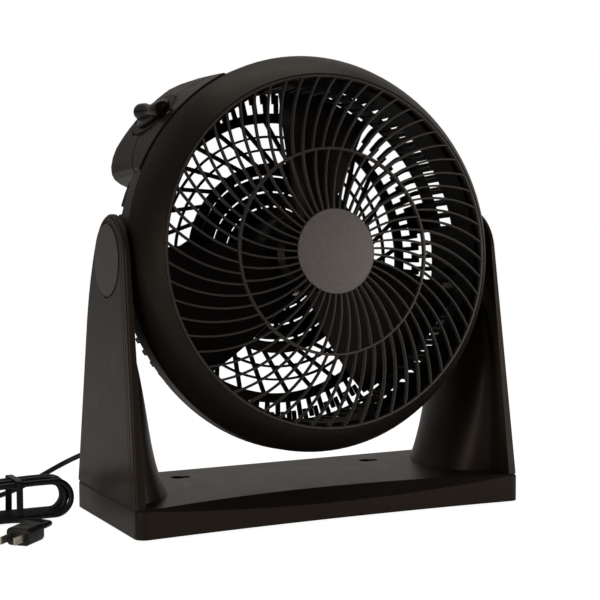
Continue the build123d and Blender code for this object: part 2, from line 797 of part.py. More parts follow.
def windows(rings, count):
    """Openings of one grille zone: the cells between its rings and its ribs."""
    cells = []
    for near, far in zip(rings[:-1], rings[1:]):
        inner, outer = near + rear_ring_width / 2, far - rear_ring_width / 2
        margin = degrees(rear_rib_width / (inner + outer))
        cells.append(ring_sector(inner, outer, margin, 360 / count - margin))
    return cells


with BuildPart() as rear_grille:
    with BuildSketch(head_front.offset(rear_back)):
        Circle(rear_rim_radius)
        Circle(rear_step_radius - step_wall, mode=Mode.SUBTRACT)
        for cell in windows(rear_outer_rings, rear_outer_ribs):
            with PolarLocations(0, rear_outer_ribs):
                add(cell, mode=Mode.SUBTRACT)
    extrude(amount=rear_grille_depth)
    with BuildSketch(head_front.offset(rear_centre_back)):
        Circle(rear_step_radius)
        for cell in windows(rear_inner_rings, rear_inner_ribs):
            with PolarLocations(0, rear_inner_ribs):
                add(cell, mode=Mode.SUBTRACT)
    extrude(amount=rear_grille_depth)
    with BuildSketch(head_front.offset(rear_centre_back)):
        Circle(rear_step_radius)
        Circle(rear_step_radius - step_wall, mode=Mode.SUBTRACT)
    extrude(amount=rear_back + rear_grille_depth - rear_centre_back)
    with BuildSketch(*head_places(rear_screw_places, rear_back)):
        Circle(small_screw_radius + running_gap)
    extrude(amount=rear_grille_depth, mode=Mode.SUBTRACT)
    motor_screw_places = [(31.0, 45 + 90 * i) for i in range(4)]
    with BuildSketch(*head_places(motor_screw_places, rear_centre_back)):
        Circle(small_screw_radius + running_gap)
    extrude(amount=rear_grille_depth, mode=Mode.SUBTRACT)

rear_grille.part.label = "rear_grille"
export_step(rear_grille.part, "parts/rear_grille.step")

with BuildPart() as rear_grille_screws:
    with BuildSketch(*head_places(rear_screw_places, rear_back)):
        Circle(small_head_radius)
    extrude(amount=-small_head_height)
    with BuildSketch(*head_places(rear_screw_places, rear_back)):
        Circle(small_screw_radius)
    extrude(amount=small_screw_length)

rear_grille_screws.part.label = "rear_grille_screws"
export_step(rear_grille_screws.part, "parts/rear_grille_screws.step")

# ---------------------------------------------------------------- motor
with BuildPart() as motor_rear_cover:
    with BuildSketch(head_side):
        Polygon((bush_radius, motor_back), (motor_radius, motor_back), (motor_radius, stator_back),
                (motor_radius - motor_wall, stator_back), (motor_radius - motor_wall, motor_back + motor_wall),
                (bush_radius + 2.5, motor_back + motor_wall), (bush_radius + 2.5, motor_back + bush_length + 1),
                (bush_radius, motor_back + bush_length + 1), align=None)
    revolve(axis=head_axis)
    with BuildSketch(*head_places(motor_screw_places, motor_back + motor_wall)):
        Circle(4.4)
    extrude(amount=5.0)
    with BuildSketch(*head_places(motor_screw_places, motor_back)):
        Circle(small_screw_radius)
    extrude(amount=6.5, mode=Mode.SUBTRACT)

motor_rear_cover.part.label = "motor_rear_cover"
export_step(motor_rear_cover.part, "parts/motor_rear_cover.step")

with BuildPart() as motor_screws:
    with BuildSketch(*head_places(motor_screw_places, rear_centre_back)):
        Circle(small_head_radius)
    extrude(amount=-small_head_height)
    with BuildSketch(*head_places(motor_screw_places, rear_centre_back)):
        Circle(small_screw_radius)
    extrude(amount=rear_grille_depth + 6.0)

motor_screws.part.label = "motor_screws"
export_step(motor_screws.part, "parts/motor_screws.step")

with BuildPart() as motor_front_bracket:
    with BuildSketch(head_side):
        Polygon((motor_radius, stator_front), (motor_radius, motor_front), (bush_radius, motor_front),
                (bush_radius, motor_front - bush_length - 1), (bush_radius + 2.5, motor_front - bush_length - 1),
                (bush_radius + 2.5, motor_front - motor_wall),
                (motor_radius - motor_wall, motor_front - motor_wall),
                (motor_radius - motor_wall, stator_front), align=None)
    revolve(axis=head_axis)
    # vents
    with BuildSketch(head_front.offset(motor_front)):
        with PolarLocations(22, 6, start_angle=30):
            SlotOverall(12, 5)
    extrude(amount=-motor_wall, mode=Mode.SUBTRACT)

motor_front_bracket.part.label = "motor_front_bracket"
export_step(motor_front_bracket.part, "parts/motor_front_bracket.step")

stator_length = stator_front - stator_back
pole_length = motor_radius - stator_yoke / 2 - rotor_radius

with BuildPart() as stator_core:
    with BuildSketch(head_front.offset(stator_back)):
        with PolarLocations(rotor_radius + pole_length / 2, 4):
            Rectangle(pole_length, stator_pole_width)
        Circle(rotor_radius + air_gap, mode=Mode.SUBTRACT)
        Circle(motor_radius)
        Circle(motor_radius - stator_yoke, mode=Mode.SUBTRACT)
        with PolarLocations(rotor_radius + pole_length / 2 + 1, 4):
            Rectangle(pole_length - 2, stator_pole_width)
    extrude(amount=stator_length)

stator_core.part.label = "stator_core"
export_step(stator_core.part, "parts/stator_core.step")

with BuildPart() as stator_windings:
    with BuildSketch(head_front.offset(stator_back - winding_thickness)):
        Circle(motor_radius - stator_yoke - 0.4)
        Circle(rotor_radius + 2.4, mode=Mode.SUBTRACT)
    extrude(amount=stator_length + 2 * winding_thickness)
    end_turns = stator_windings.edges().filter_by(GeomType.CIRCLE)
    fillet(end_turns, 2.0)
    with BuildSketch(head_front.offset(stator_back)):
        with PolarLocations(rotor_radius + pole_length / 2 + 1, 4):
            Rectangle(pole_length, stator_pole_width)
    extrude(amount=stator_length, mode=Mode.SUBTRACT)

stator_windings.part.label = "stator_windings"
export_step(stator_windings.part, "parts/stator_windings.step")

with BuildPart() as motor_bushes:
    with BuildSketch(head_front.offset(motor_back), head_front.offset(motor_front - bush_length)):
        Circle(bush_radius)
        Circle(shaft_radius + running_gap, mode=Mode.SUBTRACT)
    extrude(amount=bush_length)

motor_bushes.part.label = "motor_bushes"
export_step(motor_bushes.part, "parts/motor_bushes.step")

shaft_back = motor_back + 0.5

with BuildPart() as motor_shaft:
    with BuildSketch(head_front.offset(shaft_back)):
        Circle(shaft_radius)
    extrude(amount=shaft_front - shaft_back)
    chamfer(motor_shaft.edges().filter_by(GeomType.CIRCLE), 0.5)

motor_shaft.part.label = "motor_shaft"
export_step(motor_shaft.part, "parts/motor_shaft.step")

with BuildPart() as rotor_core:
    with BuildSketch(head_front.offset(stator_back)):
        Circle(rotor_radius)
        Circle(shaft_radius, mode=Mode.SUBTRACT)
        with PolarLocations(rotor_radius - 3.2, 12):
            Circle(1.4, mode=Mode.SUBTRACT)
    extrude(amount=stator_length)

rotor_core.part.label = "rotor_core"
export_step(rotor_core.part, "parts/rotor_core.step")

# ---------------------------------------------------------------- blades
# Sections across one blade: radius, chord, pitch in degrees, hollow of its front side.
blade_sections = [(17.0, 46.0, 45.0, 4.0), (75.0, 98.0, 33.0, 9.0), (155.0, 132.0, 21.0, 11.0)]
blade_middle = 17.0
boss_radius = 9.0


def blade_section(angle, radius, chord, pitch, hollow):
    """One section of a blade: it looks along the radius, its x runs up the chord."""
    a, p = radians(angle), radians(pitch)
    onward = head_up * cos(a) - Vector(1, 0, 0) * sin(a)
    outward = Vector(1, 0, 0) * cos(a) + head_up * sin(a)
    chord_dir = onward * cos(p) + face_dir * sin(p)
    plane = Plane(origin=head_point(radius, angle, blade_middle), x_dir=chord_dir, z_dir=outward)
    half = chord / 2
    with BuildSketch(plane) as cut:
        with BuildLine():
            ThreePointArc((-half, 0.5), (0, blade_thickness / 2 - hollow), (half, 0.5))
            Line((half, 0.5), (half, -0.5))
            ThreePointArc((half, -0.5), (0, -blade_thickness / 2 - hollow), (-half, -0.5))
            Line((-half, -0.5), (-half, 0.5))
        make_face()
    return cut.sketch


with BuildPart() as fan_blade:
    for number in range(blade_count):
        angle = blade_first_angle + number * 360 / blade_count
        add(loft([blade_section(angle, *values) for values in blade_sections], mode=Mode.PRIVATE))
    with BuildSketch(head_front.offset(-60)):
        Circle(blade_tip_radius)
    extrude(amount=150, mode=Mode.INTERSECT)
    with BuildSketch(head_side):
        Polygon((0, blade_hub_back), (blade_hub_radius, blade_hub_back), (blade_hub_radius, blade_hub_front - 5),
                (blade_hub_radius - 5, blade_hub_front), (0, blade_hub_front), align=None)
    revolve(axis=head_axis)
    cup = blade_hub_radius - blade_hub_wall
    with BuildSketch(head_side):
        Polygon((boss_radius, blade_hub_back - 40), (cup, blade_hub_back - 40), (cup, blade_hub_front - 6),
                (cup - 4, blade_hub_front - blade_hub_wall), (boss_radius, blade_hub_front - blade_hub_wall),
                align=None)
    revolve(axis=head_axis, mode=Mode.SUBTRACT)
    with BuildSketch(head_side):
        Polygon((0, -60), (boss_radius, -60), (boss_radius, 0), (0, 0), align=None)
    revolve(axis=head_axis, mode=Mode.SUBTRACT)
    with BuildSketch(head_front.offset(-10)):
        Circle(shaft_radius)
    extrude(amount=60, mode=Mode.SUBTRACT)

fan_blade.part.label = "fan_blade"
export_step(fan_blade.part, "parts/fan_blade.step")

with BuildPart() as blade_nut:
    with BuildSketch(head_front.offset(blade_hub_front)):
        Circle(nut_radius)
    extrude(amount=nut_height + 3)
    chamfer(blade_nut.edges().filter_by(GeomType.CIRCLE).sort_by(Axis.Y)[0], 1.5)
    with BuildSketch(head_front.offset(blade_hub_front)):
        Circle(shaft_radius)
    extrude(amount=shaft_front - blade_hub_front, mode=Mode.SUBTRACT)

blade_nut.part.label = "blade_nut"
export_step(blade_nut.part, "parts/blade_nut.step")

# ---------------------------------------------------------------- controls
# The control housing sits on the drum, its top sloping down to the flared ring.
top_fall = (control_back_radius - control_front_radius) / (control_front - control_back)


def top_radius(forward):
    """Height of the control housing's top above the head's axis."""
    return control_back_radius - top_fall * (forward - control_back)


def hump(inner, outer, half):
    """The housing seen from the front: a ring sector with bevelled ends."""
    def corner(radius, angle):
        return (radius * cos(radians(angle)), radius * sin(radians(angle)))
    first, last = control_angle - half, control_angle + half
    shoulder = outer - control_bevel
    with BuildSketch() as area:
        with BuildLine():
            CenterArc((0, 0), inner, first, 2 * half)
            Polyline(corner(inner, last), corner(shoulder, last), corner(outer, last - control_bevel_angle))
            CenterArc((0, 0), outer, first + control_bevel_angle, 2 * (half - control_bevel_angle))
            Polyline(corner(outer, first + control_bevel_angle), corner(shoulder, first), corner(inner, first))
        make_face()
    return area.sketch


outward = outward_plane(dial_seat, control_angle, dial_forward)
slope = radians(dial_slope)
dial_normal = outward.z_dir * cos(slope) + face_dir * sin(slope)
dial_along = face_dir * cos(slope) - outward.z_dir * sin(slope)
dial_plane = Plane(origin=outward.origin, x_dir=dial_along, z_dir=dial_normal)
hump_outline = hump(drum_radius - 4, control_back_radius, control_half_angle)
side_angle = degrees(2.2 / drum_radius)
pad_depth = 4.2              # underside of the switch's pad below the dial's seat

with BuildPart() as control_cavity:
    with BuildSketch(head_side):
        back, front = control_back + control_wall, flange_back - control_wall
        Polygon((drum_radius - 5, back), (top_radius(back) - control_top_wall, back),
                (top_radius(front) - control_top_wall, front), (drum_radius - 5, front), align=None)
    revolve(axis=head_axis)
    with BuildSketch(head_front.offset(control_back)):
        add(hump(drum_radius - 6, control_back_radius - control_wall, control_half_angle - side_angle))
    extrude(amount=control_front - control_back, mode=Mode.INTERSECT)

with BuildPart() as control_housing:
    with BuildSketch(head_side):
        Polygon((drum_radius, control_back), (control_back_radius, control_back),
                (top_radius(control_seam), control_seam), (flange_radius + seam_gap, control_seam),
                (flange_radius + seam_gap, flange_back - seam_gap), (drum_radius, flange_back - seam_gap),
                align=None)
    revolve(axis=head_axis)
    with BuildSketch(head_front.offset(control_back)):
        add(hump_outline)
    extrude(amount=control_front - control_back, mode=Mode.INTERSECT)
    add(control_cavity.part, mode=Mode.SUBTRACT)
    # pad that carries the switch, and bosses for the screws from inside the drum
    with BuildSketch(dial_plane.offset(-pad_depth)):
        Circle(switch_radius + 1.5)
    extrude(amount=pad_depth - 1)
    for turn, forward in control_screw_places:
        with BuildSketch(outward_plane(drum_radius, control_angle + turn, forward)):
            Circle(3.6)
        extrude(amount=top_radius(forward) - drum_radius - 2)
        with BuildSketch(outward_plane(drum_radius, control_angle + turn, forward)):
            Circle(small_screw_radius)
        extrude(amount=small_screw_length, mode=Mode.SUBTRACT)
    # the bosses stand on the round drum
    with BuildSketch(head_front.offset(control_back)):
        Circle(drum_radius)
    extrude(amount=flange_back - control_back, mode=Mode.SUBTRACT)
    with BuildSketch(dial_plane):
        Circle(dial_radius + seam_gap)
    extrude(amount=20, mode=Mode.SUBTRACT)
    with BuildSketch(dial_plane):
        Circle(spindle_radius + 1)
    extrude(amount=-pad_depth, mode=Mode.SUBTRACT)

control_housing.part.label = "control_housing"
export_step(control_housing.part, "parts/control_housing.step")

with BuildPart() as control_fairing:
    with BuildSketch(head_side):
        start = control_seam + seam_gap
        Polygon((flange_radius + seam_gap, start), (top_radius(start), start),
                (control_front_radius, control_front), (lip_radius, control_front),
                (lip_radius, lip_back - seam_gap), (flange_radius + seam_gap, lip_back - seam_gap), align=None)
    revolve(axis=head_axis)
    with BuildSketch(head_front.offset(control_back)):
        add(hump_outline)
    extrude(amount=control_front - control_back + 1, mode=Mode.INTERSECT)
    with BuildSketch(dial_plane):
        Circle(dial_radius + seam_gap)
    extrude(amount=20, mode=Mode.SUBTRACT)

control_fairing.part.label = "control_fairing"
export_step(control_fairing.part, "parts/control_fairing.step")

flat_seat = 0.05             # a flat head stands this far off the round wall

with BuildPart() as control_screws:
    for turn, forward in control_screw_places:
        with BuildSketch(outward_plane(drum_inner - flat_seat, control_angle + turn, forward)):
            Circle(small_head_radius)
        extrude(amount=-small_head_height)
        with BuildSketch(outward_plane(drum_inner - flat_seat, control_angle + turn, forward)):
            Circle(small_screw_radius)
        extrude(amount=small_screw_length)

control_screws.part.label = "control_screws"
export_step(control_screws.part, "parts/control_screws.step")

with BuildPart() as dial_plate:
    with BuildSketch(dial_plane):
        Circle(dial_radius)
        Circle(spindle_radius + 1, mode=Mode.SUBTRACT)
    extrude(amount=dial_thickness)
    chamfer(dial_plate.edges().filter_by(GeomType.CIRCLE).sort_by(Axis(dial_plane.origin, dial_normal))[-1], 0.4)

dial_plate.part.label = "dial_plate"
export_step(dial_plate.part, "parts/dial_plate.step")

with BuildPart() as rotary_switch:
    with BuildSketch(dial_plane.offset(-pad_depth)):
        Circle(switch_radius)
    extrude(amount=-switch_height)
    with BuildSketch(dial_plane.offset(-pad_depth)):
        Circle(spindle_radius + running_gap)
    extrude(amount=2 - switch_height, mode=Mode.SUBTRACT)

rotary_switch.part.label = "rotary_switch"
export_step(rotary_switch.part, "parts/rotary_switch.step")

knob_bottom = dial_thickness + knob_lift
knob_grip_bottom = knob_bottom + knob_skirt_height
spindle_bottom = 2.3 - pad_depth - switch_height
spindle_top = knob_grip_bottom + 5.0

with BuildPart() as switch_spindle:
    with BuildSketch(dial_plane.offset(spindle_bottom)):
        Circle(spindle_radius)
    extrude(amount=spindle_top - spindle_bottom)

switch_spindle.part.label = "switch_spindle"
export_step(switch_spindle.part, "parts/switch_spindle.step")

with BuildPart() as speed_knob:
    with BuildSketch(dial_plane.offset(knob_grip_bottom - 0.8)):
        SlotOverall(knob_grip_length, knob_grip_width)
    extrude(amount=knob_grip_height + 0.8)
    grip_top = speed_knob.faces().sort_by(Axis(dial_plane.origin, dial_normal))[-1]
    fillet(grip_top.edges(), 4.0)
    with BuildSketch(dial_plane.offset(knob_bottom)):
        Circle(knob_skirt_radius)
    extrude(amount=knob_skirt_height)
    with BuildSketch(dial_plane.offset(knob_bottom)):
        Circle(spindle_radius)
    extrude(amount=spindle_top - knob_bottom, mode=Mode.SUBTRACT)

speed_knob.part.label = "speed_knob"
export_step(speed_knob.part, "parts/speed_knob.step")

with BuildPart() as run_capacitor:
    with BuildSketch(outward_plane(drum_radius - 2, control_angle + 10.5, dial_forward - 2)):
        RectangleRounded(28, 13, 1.5)
    extrude(amount=12)
    with BuildSketch(head_front.offset(control_back)):
        Circle(drum_radius)
    extrude(amount=60, mode=Mode.SUBTRACT)

run_capacitor.part.label = "run_capacitor"
export_step(run_capacitor.part, "parts/run_capacitor.step")

# ---------------------------------------------------------------- power cord
with BuildPart() as cord_gland:
    with BuildSketch(gland_bore.offset(gland_mouth_y - 16)):
        Circle(gland_root_radius)
    extrude(amount=16)
    with BuildSketch(gland_bore.offset(gland_mouth_y)):
        Circle(gland_flange_radius)
    extrude(amount=2)
    with BuildSketch(gland_bore.offset(gland_mouth_y + 2)):
        Circle(gland_root_radius)
    with BuildSketch(gland_bore.offset(gland_mouth_y + gland_length)):
        Circle(gland_tip_radius)
    loft()

cord_gland.part.label = "cord_gland"
export_step(cord_gland.part, "parts/cord_gland.step")

# Where the cord runs, from the gland to the plug. It falls from the left arm to the floor,
# turns back and goes into a tied hank, and its end comes out of the hank's front.
lay_height = 3.4             # the hank lies on its tie, a little above the floor
lead_points = [
    (gland_x, gland_mouth_y + gland_length, gland_z),
    (gland_x, 114, gland_z),
    (-171, 128.5, 41),
    (-182, 138.5, 34),
    (-197.5, 142, 26),
    (-216, 143, 16.5),
    (-238, 142, 8),
    (-262, 138.5, lay_height),
    (-294.4, 136, lay_height),
    (-311.2, 123.8, lay_height),
    (-317.65, 104, lay_height),
    (-311.2, 84.2, lay_height),
    (-294.4, 72, lay_height),
    (-276, 72, lay_height),
]
tail_points = [
    (-278, 37.2, lay_height),
    (-263.5, 37.2, lay_height),
    (-250.8, 30.9, lay_height),
    (-242.3, 19.4, lay_height),
    (-240.2, 5, 5),
    (-244.9, -8.6, 7.5),
    (-256.3, -20, 7.5),
]


def bend_radii(points):
    """Radius of each bend: its tangents take 45% of the shorter run beside it."""
    radii = []
    for before, here, after in zip(points[:-2], points[1:-1], points[2:]):
        one, two = Vector(here) - Vector(before), Vector(after) - Vector(here)
        turn = radians(one.get_angle(two))
        radii.append(0.45 * min(one.length, two.length) / tan(turn / 2))
    return radii


def report(name, tube, length):
    """Print a tube's length and how its volume compares with its section times its length."""
    ratio = tube.volume / (pi * cord_radius ** 2 * length)
    print(f"{name}: length {length:.1f} mm, volume ratio {ratio:.4f}")


def route_plane(points):
    """Plane across a route at its start."""
    start, heading = Vector(points[0]), Vector(points[1]) - Vector(points[0])
    return Plane(origin=start, z_dir=heading)


lead_radii = bend_radii(lead_points)
tail_radii = bend_radii(tail_points)
print("lead bends", [round(radius, 1) for radius in lead_radii])
print("tail bends", [round(radius, 1) for radius in tail_radii])

with BuildPart() as cord_lead:
    with BuildLine() as lead_route:
        FilletPolyline(*lead_points, radius=lead_radii)
    with BuildSketch(route_plane(lead_points)):
        Circle(cord_radius)
    sweep(path=lead_route.wires()[0])

cord_lead.part.label = "cord_lead"
export_step(cord_lead.part, "parts/cord_lead.step")
report("cord_lead", cord_lead.part, lead_route.wires()[0].length)

with BuildPart() as cord_tail:
    with BuildLine() as tail_route:
        FilletPolyline(*tail_points, radius=tail_radii)
    with BuildSketch(route_plane(tail_points)):
        Circle(cord_radius)
    sweep(path=tail_route.wires()[0])

cord_tail.part.label = "cord_tail"
export_step(cord_tail.part, "parts/cord_tail.step")
report("cord_tail", cord_tail.part, tail_route.wires()[0].length)

# The hank is one tube in upright turns beside each other, which step forward along their tops.
turn_step = 5.8
turn_bends = [14.8, 15.6, 15.0, 15.8, 14.6, 15.4]
right_ends = [-221, -226, -223, -230, -227, -224]
left_ends = [-300, -296, -301, -295, -299, -296]
step_start, step_end = -233, -285

with BuildPart() as cord_hank:
    with BuildLine() as hank_route:
        x, y = lead_points[-1][0], lead_points[-1][1]
        for bend, right_end, left_end in zip(turn_bends, right_ends, left_ends):
            diagonal = bend * sqrt(0.5)
            middle, crown = lay_height + bend, lay_height + 2 * bend
            Line((x, y, lay_height), (right_end, y, lay_height))
            ThreePointArc((right_end, y, lay_height), (right_end + diagonal, y, middle - diagonal),
                          (right_end + bend, y, middle))
            ThreePointArc((right_end + bend, y, middle), (right_end + diagonal, y, middle + diagonal),
                          (right_end, y, crown))
            Line((right_end, y, crown), (step_start, y, crown))
            halfway = ((step_start + step_end) / 2, y - turn_step / 2, crown)
            away = TangentArc((step_start, y, crown), halfway, tangent=(-1, 0, 0))
            y -= turn_step
            TangentArc(halfway, (step_end, y, crown), tangent=away % 1)
            Line((step_end, y, crown), (left_end, y, crown))
            ThreePointArc((left_end, y, crown), (left_end - diagonal, y, middle + diagonal),
                          (left_end - bend, y, middle))
            ThreePointArc((left_end - bend, y, middle), (left_end - diagonal, y, middle - diagonal),
                          (left_end, y, lay_height))
            x = left_end
        Line((x, y, lay_height), tail_points[0])
    with BuildSketch(Plane(origin=lead_points[-1], z_dir=(1, 0, 0))):
        Circle(cord_radius)
    sweep(path=hank_route.wires()[0])

cord_hank.part.label = "cord_hank"
export_step(cord_hank.part, "parts/cord_hank.step")

hank_wire = hank_route.wires()[0]
report("cord_hank", cord_hank.part, hank_wire.length)
samples = 500
spacing = hank_wire.length / samples
marks = [hank_wire.position_at(number / samples) for number in range(samples + 1)]
apart = int(12 * cord_radius / spacing)
least = min((marks[i] - marks[j]).length for i in range(samples + 1) for j in range(i + apart, samples + 1))
print(f"cord_hank: least gap to itself {least - 2 * cord_radius:.2f} mm")

tie_x = -258.0
tie_width = 6.0
tie_thickness = 0.8
hank_back = lead_points[-1][1]
hank_top = lay_height + 2 * max(turn_bends) + cord_radius
hank_floor = lay_height - cord_radius
last_turn = hank_back - turn_step * (len(turn_bends) - 1)

tie_slack = 0.4
top_back = hank_back - turn_step / 2 + cord_radius + 1.2
top_front = last_turn - turn_step / 2 - cord_radius - 1.2

with BuildSketch() as tie_inside:
    Polygon((hank_back + cord_radius + tie_slack, hank_floor), (last_turn - cord_radius - tie_slack, hank_floor),
            (top_front, hank_top), (top_back, hank_top), align=None)
    fillet(tie_inside.vertices(), cord_radius)
tie_outside = offset(tie_inside.sketch, amount=tie_thickness, mode=Mode.PRIVATE)

with BuildPart() as cord_tie:
    with BuildSketch(Plane.YZ.offset(tie_x - tie_width / 2)):
        add(tie_outside)
        add(tie_inside.sketch, mode=Mode.SUBTRACT)
    extrude(amount=tie_width)

cord_tie.part.label = "cord_tie"
export_step(cord_tie.part, "parts/cord_tie.step")

# ---------------------------------------------------------------- plug
plug_heading = (Vector(tail_points[-1]) - Vector(tail_points[-2])).normalized()
plug_heading = Vector(plug_heading.X, plug_heading.Y, 0).normalized()
plug_across = Vector(0, 0, 1).cross(plug_heading)
plug_plane = Plane(origin=tail_points[-1], x_dir=plug_across, z_dir=plug_heading)
plug_height = 2 * tail_points[-1][2]
plug_width = 22.0
plug_relief = 12.0
plug_length = 26.0

with BuildPart() as plug_body:
    with BuildSketch(plug_plane):
        Circle(cord_radius + 0.9)
    with BuildSketch(plug_plane.offset(plug_relief)):
        Circle(cord_radius + 2.4)
    loft()
    with BuildSketch(plug_plane.offset(plug_relief)):
        RectangleRounded(plug_width, plug_height, 4)
    extrude(amount=plug_length)
    fillet(plug_body.edges().group_by(Axis((0, 0, 0), plug_heading))[-1], 1.0)

plug_body.part.label = "plug_body"
export_step(plug_body.part, "parts/plug_body.step")

with BuildPart() as plug_blades:
    with BuildSketch(plug_plane.offset(plug_relief + plug_length)):
        with Locations((-6.35, 0), (6.35, 0)):
            Rectangle(1.5, 6.3)
    extrude(amount=17)

plug_blades.part.label = "plug_blades"
export_step(plug_blades.part, "parts/plug_blades.step")

cord_length = lead_route.wires()[0].length + hank_wire.length + tail_route.wires()[0].length
print(f"power cord: {cord_length:.0f} mm from the gland to the plug")
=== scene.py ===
"""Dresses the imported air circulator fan: finishes for its CAD nodes, and the pieces that
are modelled here. Everything is in metres, in the frame of the CAD."""

import json
from math import asin, atan2, cos, hypot, pi, radians, sin, tan

import bpy
from bpy.props import FloatProperty, FloatVectorProperty, IntProperty, PointerProperty
from mathutils import Matrix, Vector


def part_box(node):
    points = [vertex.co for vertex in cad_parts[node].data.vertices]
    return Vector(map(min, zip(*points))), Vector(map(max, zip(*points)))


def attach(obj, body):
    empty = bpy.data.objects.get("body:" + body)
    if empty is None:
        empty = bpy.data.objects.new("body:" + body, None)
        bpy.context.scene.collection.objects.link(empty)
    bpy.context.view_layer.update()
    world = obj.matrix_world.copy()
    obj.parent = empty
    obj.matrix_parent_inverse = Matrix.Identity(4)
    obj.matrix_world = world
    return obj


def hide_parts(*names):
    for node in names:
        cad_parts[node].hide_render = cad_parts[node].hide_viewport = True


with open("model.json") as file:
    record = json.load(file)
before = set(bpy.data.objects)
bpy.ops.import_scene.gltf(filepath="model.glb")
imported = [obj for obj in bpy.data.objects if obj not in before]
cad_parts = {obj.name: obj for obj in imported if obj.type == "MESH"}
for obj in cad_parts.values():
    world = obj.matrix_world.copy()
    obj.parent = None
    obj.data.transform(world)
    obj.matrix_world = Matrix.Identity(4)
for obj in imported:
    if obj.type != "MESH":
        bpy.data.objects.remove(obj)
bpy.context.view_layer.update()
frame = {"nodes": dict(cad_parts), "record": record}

bl_info = {
    "name": "Air circulator fan",
    "version": (1, 0, 0),
    "blender": (4, 5, 0),
    "location": "View3D > Sidebar > Fan",
    "description": "Finishes and modelled pieces of a table-top air circulator fan",
    "category": "Object",
}

MM = 0.001
SAME_POINT = 0.000002        # points of a CAD mesh that are nearer than this are one
FOCAL_PIXELS, PICTURE_PIXELS = 1545.16, 600
HEAD_TILT = radians(5)
PIVOT = Vector((0, 0, 0.234))
FACE = Vector((0, -cos(HEAD_TILT), sin(HEAD_TILT)))
HEAD_UP = Vector((0, sin(HEAD_TILT), cos(HEAD_TILT)))
HEAD = Matrix.Translation(PIVOT) @ Matrix((Vector((1, 0, 0)), HEAD_UP, FACE)).transposed().to_4x4()


# ---------------------------------------------------------------- sizes and colours
def length(name, description, value):
    return FloatProperty(name=name, description=description, default=value, min=0, unit="LENGTH")


def colour(name, description, red, green, blue):
    return FloatVectorProperty(name=name, description=description, subtype="COLOR",
                               default=(red, green, blue), min=0, max=1)


class FanSizes(bpy.types.PropertyGroup):
    rib_width: length("Rib width", "Width of a rib of the front grille", 0.0019)
    rib_depth: length("Rib depth", "Depth of a rib from front to back", 0.0044)
    outer_ribs: IntProperty(name="Outer ribs", description="Ribs outside the middle ring", default=60)
    inner_ribs: IntProperty(name="Inner ribs", description="Ribs inside the middle ring", default=45)
    cap_radius: length("Cap radius", "Radius of the cap in the middle of the grille", 0.0378)
    grip_length: length("Grip length", "Length of the speed knob's grip", 0.0505)
    grip_radius: length("Grip radius", "Radius of the grip's thick rear end", 0.0078)
    cord_diameter: length("Cord diameter", "Diameter of the power cord", 0.005)
    number_height: length("Number height", "Height of the numbers round the dial", 0.0052)
    floor_size: length("Floor size", "Side of the studio floor", 9.0)


class FanColours(bpy.types.PropertyGroup):
    stand: colour("Stand", "Base and arms", 0.0240, 0.0176, 0.0138)
    head: colour("Head", "Flared ring and control housing", 0.0180, 0.0138, 0.0112)
    drum: colour("Drum", "Rear housing, duct and rear grille", 0.0055, 0.0047, 0.0043)
    # The grille's colour is its dark plastic raised well above the head's. This is a painted highlight for the light
    # that the ribs catch.
    grille: colour("Grille", "Ribs of the front grille", 0.0390, 0.0378, 0.0400)
    cap: colour("Cap", "Cap in the middle of the grille", 0.215, 0.196, 0.194)
    blade: colour("Blades", "Fan blades", 0.0065, 0.0058, 0.0055)
    knob: colour("Knob", "Speed knob and dial", 0.0080, 0.0072, 0.0070)
    number: colour("Numbers", "Numbers round the dial", 0.35, 0.34, 0.33)
    cord: colour("Cord", "Power cord and plug", 0.0085, 0.0085, 0.0088)


# ---------------------------------------------------------------- node finishes
class Level:
    """A socket of a finish; sums on it add Math nodes."""

    def __init__(self, finish, socket):
        self.finish, self.socket = finish, socket

    def math(self, operation, first, second):
        return self.finish.add("ShaderNodeMath", {"operation": operation}, {0: first, 1: second})

    def __add__(self, other):
        return self.math("ADD", self, other)

    __radd__ = __add__

    def __mul__(self, other):
        return self.math("MULTIPLY", self, other)

    __rmul__ = __mul__

    def __sub__(self, other):
        return self.math("SUBTRACT", self, other)

    def __rsub__(self, other):
        return self.math("SUBTRACT", other, self)

    def held(self, low, high, start=0.0, end=1.0):
        """Maps low..high to start..end and holds it there."""
        return self.finish.add("ShaderNodeMapRange", {"clamp": True},
                               {"Value": self, "From Min": low, "From Max": high, "To Min": start, "To Max": end})


class Finish:
    """One node material, built up a node at a time."""

    def __init__(self, tree):
        self.tree = tree
        self.tree.nodes.clear()

    def add(self, kind, settings=None, sockets=None, output=0):
        """Adds a node, makes its settings, fills or links its sockets and returns one output."""
        node = self.tree.nodes.new(kind)
        for key, value in (settings or {}).items():
            setattr(node, key, value)
        for key, value in (sockets or {}).items():
            if isinstance(value, Level):
                self.tree.links.new(value.socket, node.inputs[key])
            else:
                node.inputs[key].default_value = value
        return Level(self, node.outputs[output])

    def mix(self, factor, first, second):
        """Mixes two colours."""
        return self.add("ShaderNodeMix", {"data_type": "RGBA"}, {0: factor, 6: first, 7: second}, output=2)

    def noise(self, scale, detail=2.0, roughness=0.5):
        return self.add("ShaderNodeTexNoise", None, {"Vector": self.place, "Scale": scale,
                                                     "Detail": detail, "Roughness": roughness})

    def surface(self, sockets):
        shader = self.add("ShaderNodeBsdfPrincipled", None, sockets)
        self.add_output(shader)
        return shader

    def add_output(self, shader, kind="ShaderNodeOutputMaterial"):
        node = self.tree.nodes.new(kind)
        self.tree.links.new(shader.socket, node.inputs["Surface"])


def new_finish(name):
    material = bpy.data.materials.new(name)
    material.use_nodes = True
    finish = Finish(material.node_tree)
    finish.material = material
    finish.place = finish.add("ShaderNodeTexCoord", output="Object")
    return finish


def tinted(tint, level):
    return (*(channel * level for channel in tint), 1.0)


